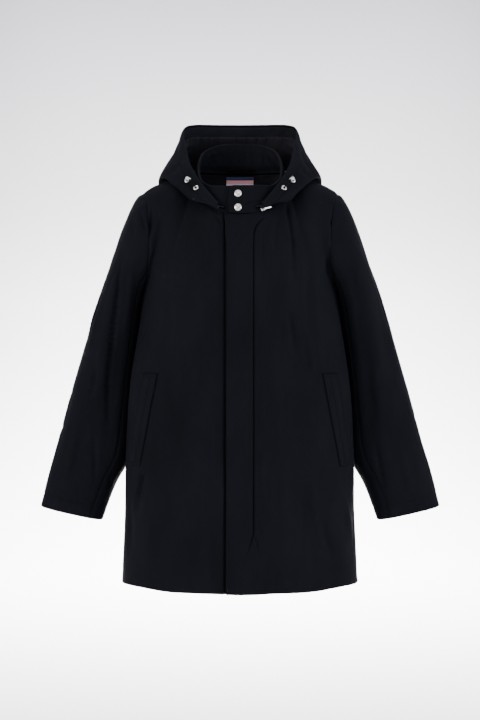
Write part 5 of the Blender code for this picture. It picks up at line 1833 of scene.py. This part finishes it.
@dataclass
class Hood:
    """The hood: three outer panels, the facing inside the brim and the gathered lining."""

    finishes: Wardrobe
    side_columns: int = 88
    centre_columns: int = 50
    rows: int = 78
    tunnel: float = 0.022
    tunnel_puff: float = 0.0012
    facing_near: float = 0.0032
    facing_far: float = 0.0260
    facing_inset: float = 0.0052
    lining_from: float = 0.58
    lining_near: float = 0.0245
    lining_inset: float = 0.0064
    lining_first_deg: float = 64.0
    facing_first_deg: float = 43.0
    brim_radius: float = 0.0020
    brim_taper: float = 0.014
    brim_tuck: float = 0.006
    gather: float = 0.0030
    side_gather: float = 0.0014
    fold: float = 0.0008
    side_fold: float = 0.0030
    ridge: float = 0.0062
    ridges: tuple[Pair, ...] = ((0.018, 0.0050), (0.037, 0.0060), (0.058, 0.0075))

    def outer(self, band: Array) -> Array:
        """The settled surface over a band of angles."""
        return HOOD.settled(HOOD.skin(band, np.linspace(0, 1, self.rows + 1)))

    def dress(self, panel: Panel, seed: int) -> Panel:
        """Adds the tunnel round the brim, the creases and the ripples."""
        away = panel.distance(Edge.TOP)
        panel.creased(HOOD_CREASES)
        panel.ripple(0.0010, 0.024, 0.06, seed).ripple(0.0004, 0.010, 0.03, seed + 4)
        panel.raised *= ease(panel.distance(Edge.BOTTOM) / 0.03)
        panel.raised *= 0.35 + 0.65 * ease((away - self.tunnel) / 0.02)
        panel.raised += self.tunnel_puff * np.sin(np.pi * np.clip(away / self.tunnel, 0, 1)) ** 0.7
        panel.groove(Edge.TOP, self.tunnel, 0.0013, 0.0026, seed + 1)
        panel.raised *= ease((panel.v[-1:] - self.tunnel - 0.002) / 0.012)
        return panel

    def build(self) -> list[Piece]:
        """Makes the hood's cloth."""
        cloth, inside = self.finishes.shell, self.finishes.inside
        pieces = []
        side_band = np.linspace(HOOD.front_deg, HOOD.centre_deg, self.side_columns + 1)
        grid = self.outer(side_band)
        sewn = Stitching(0.0034, 0.0027)
        for side in Side:
            name = side.name.lower()
            panel = self.dress(sided(grid, side), 91 if side is Side.LEFT else 101)
            panel.seam([Edge.RIGHT], 93, 0.0016, 0.0045, flat=Edge.TOP)
            long = np.flatnonzero(panel.v[-1] > self.tunnel + 0.008)
            start = long[0] / (panel.v.shape[1] - 1)
            sewn.run(*panel.line(Edge.TOP, self.tunnel, start))
            piece = panel.build(f"hood_side_{name}_cloth", cloth, inside, [Edge.TOP], radius=self.brim_radius,
                                tuck=self.brim_tuck, taper=self.brim_taper)
            panel.declare(piece, "draped", ["collar_cloth", "back_cloth", f"front_{name}_cloth"])
            pieces.append(stand_for(piece, f"hood_side_{name}"))
        band = np.linspace(HOOD.centre_deg, 360 - HOOD.centre_deg, self.centre_columns + 1)
        panel = self.dress(Panel(self.outer(band)), 111)
        panel.seam([Edge.LEFT, Edge.RIGHT], 96, 0.0016, 0.0045, flat=Edge.TOP)
        sewn.run(*panel.line(Edge.TOP, self.tunnel))
        piece = panel.build("hood_centre_cloth", cloth, inside, [Edge.TOP], radius=self.brim_radius,
                            tuck=self.brim_tuck)
        panel.declare(piece, "draped", ["collar_cloth", "back_cloth"])
        pieces.append(stand_for(piece, "hood_centre"))
        pieces.append(go_with(sewn.build("hood_stitches", self.finishes.thread)))
        return pieces + self.inner()

    def strip(self, band: Array, near: float, far: float | None, rows: int, inset: float) -> Array:
        """Rows inside the hood at even distances from the brim.

        Args:
            band: Degrees of the columns.
            near: The distance of the last row from the brim.
            far: The distance of the first row, or None for the lining's own depth.
            rows: The number of rows.
            inset: How far inside the outer skin they lie.

        Returns:
            A grid of points whose columns run the other way, so that it faces inward.
        """
        lines = HOOD.skin(band, np.linspace(self.lining_from, 1.0, 90))[::-1]
        columns = []
        for number in range(len(band)):
            line = lines[:, number]
            last = lengths(line)[-1] if far is None else far
            columns.append(at_length(line, np.linspace(last, near, rows)))
        grid = np.stack(columns, axis=1)
        return (grid - grid_normals(grid) * inset)[:, ::-1]

    def inner(self) -> list[Piece]:
        """The facing and the gathered lining."""
        band = np.linspace(self.facing_first_deg, 360 - self.facing_first_deg, 281)
        facing = Panel(self.strip(band, self.facing_near, self.facing_far, 15, self.facing_inset))
        facing.ripple(0.0005, 0.014, 0.02, 97)
        facing.raised -= 0.0012 * bell(wrapped(band[::-1] - 188.0), 0.6)[None, :]
        piece = facing.build("hood_facing_cloth", self.finishes.facing, self.finishes.inside,
                             [Edge.BOTTOM], thickness=0.0008, radius=0.0007, tuck=0.003)
        facing.declare(piece, "gathered", ["hood_centre_cloth"])
        pieces = [stand_for(piece, "hood_facing")]
        band = np.linspace(self.lining_first_deg, 360 - self.lining_first_deg, 461)
        lining = Panel(self.strip(band, self.lining_near, None, 47, self.lining_inset))
        away = lining.distance(Edge.TOP)
        near = np.exp(-away / 0.014)
        turn = np.abs(wrapped(band[::-1] - 180))
        sides = ease((turn - 26) / 22)[None, :] * ease((100 - turn) / 12)[None, :]
        shift = 0.6 * noise(away / 0.02, lining.u / 0.06, 89)
        gathers = np.abs(noise(lining.u / 0.0072 + shift, away / 0.05, 98))
        lining.raised += (self.gather + self.side_gather * sides) * gathers * (0.25 + 0.75 * near)
        deep = np.abs(noise(lining.u / 0.021 + shift, away / 0.08, 99))
        lining.raised += (self.fold + self.side_fold * sides) * deep * ease(away / 0.010)
        wander = 0.008 * noise(lining.u / 0.05, 0 * away, 88)
        for place, width in self.ridges:
            ridge = bell(away - place - wander, width)
            lining.raised += self.ridge * sides * ridge * (0.75 + 0.25 * noise(lining.u / 0.03, 0 * away, 87))
        piece = lining.build("hood_lining_cloth", self.finishes.lining, self.finishes.inside,
                             thickness=0.0008)
        lining.declare(piece, "gathered", ["hood_facing_cloth"])
        pieces.append(stand_for(piece, "hood_lining"))
        return pieces


@dataclass
class Pockets:
    """A slanted welt on each front, sewn on three sides with a bar at its lower end."""

    finishes: Wardrobe
    ground: Surface
    top_z: float = -0.425
    bottom_z: float = -0.618
    top_across: float = 0.172
    bottom_across: float = 0.212
    width: float = 0.036
    lift: float = 0.0030
    sewn_lift: float = 0.0005
    edge_stitch: float = 0.0022
    seams: tuple[tuple[Edge, float, float, float], ...] = (
        (Edge.RIGHT, 0.0050, 0.0009, 0.0018),
        (Edge.BOTTOM, 0.0085, 0.0011, 0.0016),
        (Edge.TOP, 0.0085, 0.0009, 0.0016),
        (Edge.LEFT, 0.0125, 0.0008, 0.0018),
    )
    rows: int = 96
    columns: int = 26

    def grid(self, side: Side) -> Array:
        """The welt's outer skin, laid on the finished front.

        Args:
            side: The wearer's side that it is on.

        Returns:
            A grid of points.
        """
        rows = []
        for share in np.linspace(1, 0, self.rows + 1):
            z = self.top_z + (self.bottom_z - self.top_z) * share
            near = self.top_across + (self.bottom_across - self.top_across) * share
            across = near + self.width * np.linspace(0, 1, self.columns + 1)
            rows.append(at_length(BODY.section(z, False), across))
        base = np.stack(rows) * np.array([side.value, 1.0, 1.0])
        laid = np.empty_like(base)
        outs = grid_normals(base, side is Side.RIGHT)
        for place in np.ndindex(base.shape[:2]):
            start = Vector(base[place] + 0.02 * outs[place])
            hit = self.ground.tree.ray_cast(start, Vector(-outs[place]), 0.05)[0]
            laid[place] = base[place] if hit is None else np.array(hit)
        return laid

    def build(self) -> list[Piece]:
        """Makes both welts and their stitches."""
        pieces = []
        for number, side in enumerate(Side):
            name = side.name.lower()
            panel = Panel(self.grid(side), flip=side is Side.RIGHT)
            panel.raised += self.lift
            for edge in (Edge.RIGHT, Edge.TOP, Edge.BOTTOM):
                down = bell(panel.distance(edge), self.edge_stitch)
                panel.raised -= (self.lift - self.sewn_lift) * down
            for seed, (edge, inset, depth, width) in enumerate(self.seams):
                panel.groove(edge, inset, depth, width, 120 + 2 * seed + number)
            panel.ripple(0.0005, 0.009, 0.035, 128 + number)
            piece = panel.build(f"pocket_welt_{name}_cloth", self.finishes.shell, self.finishes.inside,
                                [Edge.LEFT], thickness=0.0008, radius=0.0011, tuck=0.008)
            panel.declare(piece, "stretched", [f"front_{name}_cloth"])
            pieces.append(stand_for(piece, f"pocket_welt_{name}"))
            sewn = Stitching(0.0032, 0.0025, 0.00032)
            lines = [seam[:2] for seam in self.seams]
            lines[3:3] = [(Edge.BOTTOM, self.edge_stitch), (Edge.TOP, self.edge_stitch)]
            for edge, inset in lines:
                sewn.run(*panel.line(edge, inset, 0.04, 0.96))
            stitches = sewn.build(f"pocket_stitches_{name}", self.finishes.thread)
            pieces.append(go_with(stitches))
        return pieces


@dataclass
class NeckTrim:
    """The ribbon inside the neck and the loop to hang the garment by."""

    finishes: Wardrobe
    label_half: float = 0.030
    label_ups: Pair = (0.80, 0.975)
    label_gap: float = 0.0040
    hanger_half_deg: float = 17.0
    hanger_shares: Pair = (0.06, 0.15)
    hanger_bow: float = 0.0040
    hanger_inset: float = 0.0098

    def build(self) -> list[Piece]:
        """Makes both pieces of trim."""
        top = lengths(BODY.top_lines[1])[-1]
        across = np.linspace(-self.label_half, self.label_half, 41) / top
        ups = np.linspace(*self.label_ups, 21)
        grid = np.stack([BODY.climb_points(across, up, True) for up in ups])
        inner = grid - grid_normals(grid, True) * self.label_gap
        label = Panel(inner).ripple(0.0003, 0.02, 0.02, 131)
        label.seam([Edge.LEFT, Edge.RIGHT], 132, 0.0005, 0.0015, 0.0002)
        low, high = inner[..., 2].min(), inner[..., 2].max()
        ribbon = StripedRibbon("Striped ribbon", low_z=low, high_z=high).make()
        piece = label.build("neck_label_ribbon", ribbon, ribbon, thickness=0.0005)
        label.declare(piece, "stretched", ["back_cloth"])
        pieces = [stand_for(piece, "neck_label")]
        band = np.linspace(180 - self.hanger_half_deg, 180 + self.hanger_half_deg, 61)
        bow = self.hanger_bow * np.sin(np.linspace(0, math.pi, 61)) ** 0.7
        grid = COLLAR.skin(band, np.linspace(*self.hanger_shares, 9))
        inner = grid - grid_normals(grid) * (self.hanger_inset + bow)[None, :, None]
        loop = Panel(inner[:, ::-1])
        curl = np.linspace(-1, 1, 9)[:, None]
        loop.raised += 0.0005 * (1 - curl**2)
        piece = loop.build("hanger_loop_tape", self.finishes.tape, self.finishes.tape, thickness=0.0009)
        loop.declare(piece, "hung", ["collar_cloth"])
        pieces.append(stand_for(piece, "hanger_loop"))
        return pieces


def turned(name: str, profile: Line, place: Array, axis: Array,
           finish: Material, steps: int = 48) -> Piece:
    """Makes a turned piece.

    Args:
        name: Its name.
        profile: Radii and heights along the axis, as a closed loop or from pole to pole.
        place: The point at height 0.
        axis: The direction of height.
        finish: Its finish.
        steps: Segments round the axis.

    Returns:
        The new object.
    """
    axis = axis / np.linalg.norm(axis)
    side = unit(np.cross(axis, [0.0, 0.0, 1.0] if abs(axis[2]) < 0.9 else [1.0, 0.0, 0.0]))
    other = np.cross(axis, side)
    turn = np.linspace(0, 2 * math.pi, steps, endpoint=False)
    round_it = np.cos(turn)[:, None] * side + np.sin(turn)[:, None] * other
    closed = profile[0] == profile[-1]
    rings = list(profile[:-1]) if closed else list(profile)
    points, starts, sizes = [], [], []
    for radius, height in rings:
        starts.append(sum(sizes))
        ring = place + axis * height + round_it * radius if radius > 0 else [place + axis * height]
        sizes.append(len(ring))
        points.extend(np.asarray(ring).tolist())
    faces = []
    pairs = list(zip(range(len(rings)), range(1, len(rings))))
    if closed:
        pairs.append((len(rings) - 1, 0))
    for a, b in pairs:
        for k in range(steps):
            n = (k + 1) % steps
            corners = [starts[a] + k % sizes[a], starts[a] + n % sizes[a],
                       starts[b] + n % sizes[b], starts[b] + k % sizes[b]]
            unique = list(dict.fromkeys(corners))
            if len(unique) > 2:
                faces.append(unique)
    return add_mesh(name, points, faces, finish)


@dataclass
class Hardware:
    """The snaps, eyelets, cords with their locks, and the hood's zip."""

    finishes: Wardrobe
    snap_radius: float = 0.0075
    snap_height: float = 0.0030
    snap_seat: float = 0.0004
    snap_deg: float = -2.0
    snap_shares: Pair = (0.22, 0.72)
    eyelet_radius: float = 0.0056
    eyelet_hole: float = 0.0019
    eyelet_height: float = 0.0016
    eyelet_seat: float = 0.0008
    eyelet_places: tuple[Pair, ...] = ((54.0, 0.80), (65.0, 0.785))
    cord_radius: float = 0.0014
    cord_reach: float = 0.021
    lock_length: float = 0.0105
    lock_radius: float = 0.0037
    lock_bore: float = 0.0016
    lock_share: float = 0.58
    tape_first_deg: float = 17.0
    tape_shares: Pair = (0.10, 0.22)
    tape_wall: float = 0.0012
    tooth: Triple = (0.00075, 0.0012, 0.0020)
    tooth_pitch: float = 0.00135

    def snaps(self) -> list[Piece]:
        """The two domed caps on the collar's lap."""
        radius, height = self.snap_radius, self.snap_height
        dome = [(0.0, height)]
        for turn in np.linspace(10, 80, 9):
            lift = 0.30 * height + 0.70 * height * math.cos(math.radians(turn))
            dome.append((0.80 * radius * math.sin(math.radians(turn)), lift))
        dome += [(0.84 * radius, 0.34 * height), (0.90 * radius, 0.42 * height)]
        dome += [(0.97 * radius, 0.34 * height), (radius, 0.15 * height), (0.98 * radius, 0.0), (0.0, 0.0)]
        pieces = []
        for level, share in zip(("lower", "upper"), self.snap_shares):
            place, normal = self.seat(COLLAR.skin, self.snap_deg, share)
            piece = turned(f"snap_{level}_cap", dome, place + normal * self.snap_seat, normal,
                           self.finishes.silver, 56)
            pieces.append(stand_for(piece, f"snap_{level}"))
        return pieces

    def seat(self, skin: Callable[..., Array], degrees: float, share: float) -> tuple[Array, Array]:
        """A point of a skin and its outward normal."""
        steps = np.array([-1.0, 0.0, 1.0])
        grid = skin(degrees + steps, share + 0.03 * steps)
        along, up = grid[1, 2] - grid[1, 0], grid[2, 1] - grid[0, 1]
        return grid[1, 1], unit(np.cross(along, up))

    def eyelets(self) -> list[Piece]:
        """The rolled rings in the brim, and on each side a cord through its metal lock."""
        hole, rim, height = self.eyelet_hole, self.eyelet_radius, self.eyelet_height
        middle, half = (hole + rim) / 2, (rim - hole) / 2
        turn = np.radians(np.linspace(0, 180, 13))
        ring = [(middle + half * math.cos(a), height * (0.25 + 0.75 * math.sin(a))) for a in turn]
        ring += [(hole, -0.3 * height), (rim, -0.3 * height), ring[0]]
        pieces = []
        for side in Side:
            name = side.name.lower()
            mirror = np.array([side.value, 1.0, 1.0])
            ends = []
            for (angle, share), level in zip(self.eyelet_places, ("lower", "upper")):
                place, normal = self.seat(HOOD.skin, angle, share)
                place, normal = place * mirror, normal * mirror
                ends.append((place, normal))
                node = f"eyelet_{name}_{level}"
                piece = turned(f"{node}_ring", ring, place + normal * self.eyelet_seat, normal,
                               self.finishes.silver)
                pieces.append(stand_for(piece, node))
            pieces += self.cord(name, ends)
        return pieces

    def cord(self, name: str, ends: Sequence[tuple[Array, Array]]) -> list[Piece]:
        """The elastic from one eyelet to the other, with its lock.

        Args:
            name: The wearer's side.
            ends: The place and the outward way of each eyelet.

        Returns:
            The cord and its lock.
        """
        (low, low_out), (high, high_out) = ends
        reach = self.cord_reach
        points = np.concatenate([
            bezier(low[None], (low + low_out * reach)[None], (high + high_out * reach)[None],
                   high[None], t) for t in np.linspace(0, 1, 81)
        ])
        total = lengths(points)[-1]
        path = at_length(points, np.linspace(0, total, 25))
        curve = bpy.data.curves.new(f"cord_{name}", "CURVE")
        curve.dimensions = "3D"
        curve.bevel_depth = self.cord_radius
        curve.bevel_resolution = 5
        curve.resolution_u = 6
        curve.use_fill_caps = True
        spline = curve.splines.new("POLY")
        spline.points.add(len(path) - 1)
        for spot, point in zip(spline.points, path):
            spot.co = (*point, 1.0)
        curve.materials.append(self.finishes.elastic)
        cord = linked(f"cord_{name}", curve)
        stand_for(cord, f"cord_loop_{name}")
        spot = total * self.lock_share
        ahead = at_length(points, np.array([spot - 0.002, spot, spot + 0.002]))
        half, radius, bore = self.lock_length / 2, self.lock_radius, self.lock_bore
        barrel = [(bore, half), (radius * 0.72, half), (radius * 0.94, half * 0.94), (radius, half * 0.80)]
        barrel += [(radius, half * 0.50), (radius * 0.86, half * 0.44), (radius * 0.86, half * 0.30)]
        barrel += [(radius, half * 0.24)]
        barrel += [(r, -h) for r, h in reversed(barrel)] + [barrel[0]]
        lock = turned(f"cord_lock_{name}_barrel", barrel, ahead[1], ahead[2] - ahead[0],
                      self.finishes.steel)
        stand_for(lock, f"cord_lock_{name}")
        return [cord, lock]

    def zip(self) -> list[Piece]:
        """The hood's zip: its tape round the collar and its teeth."""
        band = np.linspace(self.tape_first_deg, 360 - self.tape_first_deg, 241)
        low, high = self.tape_shares
        tape = Panel(COLLAR.skin(band, np.linspace(low, high, 9), 0.0006 + self.tape_wall))
        piece = tape.build("hood_zip_tape_woven", self.finishes.tape, self.finishes.tape, thickness=0.0009)
        tape.declare(piece, "stretched", ["collar_cloth"])
        pieces = [stand_for(piece, "hood_zip_tape")]
        line = COLLAR.skin(band, [high - 0.02], 0.0006 + self.tape_wall + self.tooth[2] * 0.3)[0]
        above = COLLAR.skin(band, [high + 0.02], 0.0006 + self.tape_wall + self.tooth[2] * 0.3)[0]
        along = lengths(line)
        spots = np.arange(0.002, along[-1] - 0.002, self.tooth_pitch)
        places = at_length(line, spots)
        ups = unit(at_length(above, spots / along[-1] * lengths(above)[-1]) - places)
        ahead = unit(at_length(line, spots + 0.0005) - at_length(line, spots - 0.0005))
        outs = unit(np.cross(ahead, ups))
        box = np.array([(x, y, z) for x in (-1, 1) for y in (-1, 1) for z in (-1, 1)]) * 0.5
        sides = np.array([(0, 1, 3, 2), (4, 6, 7, 5), (0, 4, 5, 1), (2, 3, 7, 6), (0, 2, 6, 4), (1, 5, 7, 3)])
        size = np.array(self.tooth)
        vertices = [
            p + (box * size) @ np.stack([a, o, u]) for p, a, o, u in zip(places, ahead, outs, ups)
        ]
        faces = np.concatenate([sides + 8 * k for k in range(len(vertices))])
        teeth = add_mesh("hood_zip_teeth", np.concatenate(vertices).tolist(), faces.tolist(),
                         self.finishes.teeth, flat=True)
        pieces.append(go_with(teeth))
        return pieces

    def build(self) -> list[Piece]:
        """Makes the hardware, and gives the slider and its pull their finish."""
        for name in ("hood_zip_slider", "hood_zip_pull"):
            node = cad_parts[name]
            node.data.materials.clear()
            node.data.materials.append(self.finishes.silver)
        return self.snaps() + self.eyelets() + self.zip()


@dataclass(frozen=True)
class Lamp:
    """One square softbox that faces a point."""

    name: str
    place: Triple
    size: float
    power: float
    colour: Triple
    target: Triple = (0.0, 0.0, -0.35)
    spread: float = math.pi

    def add(self) -> None:
        """Adds the lamp to the scene."""
        light = bpy.data.lights.new(self.name, "AREA")
        light.size = self.size
        light.energy = self.power
        light.color = self.colour
        light.spread = self.spread
        heading = Vector(self.target) - Vector(self.place)
        linked(self.name, light, self.place, heading.to_track_quat("-Z", "Y").to_euler())


@dataclass
class Studio:
    """The camera, the seamless paper and the soft lights."""

    camera_place: Triple = (0.0, -2.8, -0.3986)
    picture_rows: int = 720
    metres_per_row: float = 0.00212
    sensor: float = 24.0
    floor_z: float = -1.30
    wall_y: float = 4.6
    sweep: float = 1.8
    half_width: float = 16.0
    front_y: float = -16.0
    wall_top: float = 9.0
    air: Triple = (0.94, 0.94, 0.97)
    lamps: tuple[Lamp, ...] = (
        Lamp("Key softbox", (-3.1, -1.9, 0.6), 1.4, 96.0, (1.0, 0.98, 0.97)),
        Lamp("Fill softbox", (3.2, -1.2, 0.1), 1.4, 100.0, (0.86, 0.92, 1.0)),
        Lamp("Top softbox", (0.0, -2.0, 2.2), 2.0, 16.0, (1.0, 1.0, 1.0)),
        Lamp("Backdrop light", (0.0, 2.9, 2.8), 3.0, 465.0, (0.99, 0.99, 1.0), (0.0, 2.9, -1.3), 1.25),
    )

    def build(self) -> None:
        """Sets the camera, the paper and the lights."""
        camera = bpy.data.cameras.new("Camera")
        camera.sensor_fit = "VERTICAL"
        camera.sensor_height = self.sensor
        height = self.picture_rows * self.metres_per_row
        camera.lens = self.sensor * -self.camera_place[1] / height
        bpy.context.scene.camera = linked("Camera", camera, self.camera_place, (math.pi / 2, 0.0, 0.0))
        self.paper()
        for lamp in self.lamps:
            lamp.add()
        world = bpy.data.worlds.new("Studio air")
        bpy.context.scene.world = world
        world.use_nodes = True
        background = world.node_tree.nodes["Background"]
        background.inputs["Color"].default_value = (*self.air, 1.0)
        background.inputs["Strength"].default_value = 1.0

    def paper(self) -> None:
        """The floor, which sweeps up into the backdrop."""
        turn = np.linspace(0, math.pi / 2, 24)
        bend_y = self.wall_y - self.sweep + self.sweep * np.sin(turn)
        bend_z = self.floor_z + self.sweep * (1 - np.cos(turn))
        y = np.concatenate([[self.front_y], bend_y, [self.wall_y]])
        z = np.concatenate([[self.floor_z], bend_z, [self.wall_top]])
        x = np.array([-self.half_width, self.half_width])
        grid = np.stack([np.stack([x, np.full(2, b), np.full(2, c)], axis=1) for b, c in zip(y, z)])
        floor = mesh_from_grid("Studio paper", grid, grid[:, :, :2], False, StudioPaper().make())


def main() -> None:
    """Builds the whole scene."""
    logging.basicConfig(level=logging.INFO, format="%(name)s: %(message)s")
    finishes = Wardrobe()
    Studio().build()
    body = Body(finishes)
    made = {"Body": body.build()}
    made["Sleeves"] = Sleeves(finishes).build()
    made["Collar"] = Collar(finishes).build()
    made["Hood"] = Hood(finishes).build()
    made["Pockets"] = Pockets(finishes, body.surface).build()
    made["NeckTrim"] = NeckTrim(finishes).build()
    made["Hardware"] = Hardware(finishes).build()
    for part, pieces in made.items():
        for piece in pieces:
            size = len(piece.data.polygons) if piece.type == "MESH" else 0
            LOG.info("%s: %s, %d faces", part, piece.name, size)


if __name__ == "__main__":
    main()
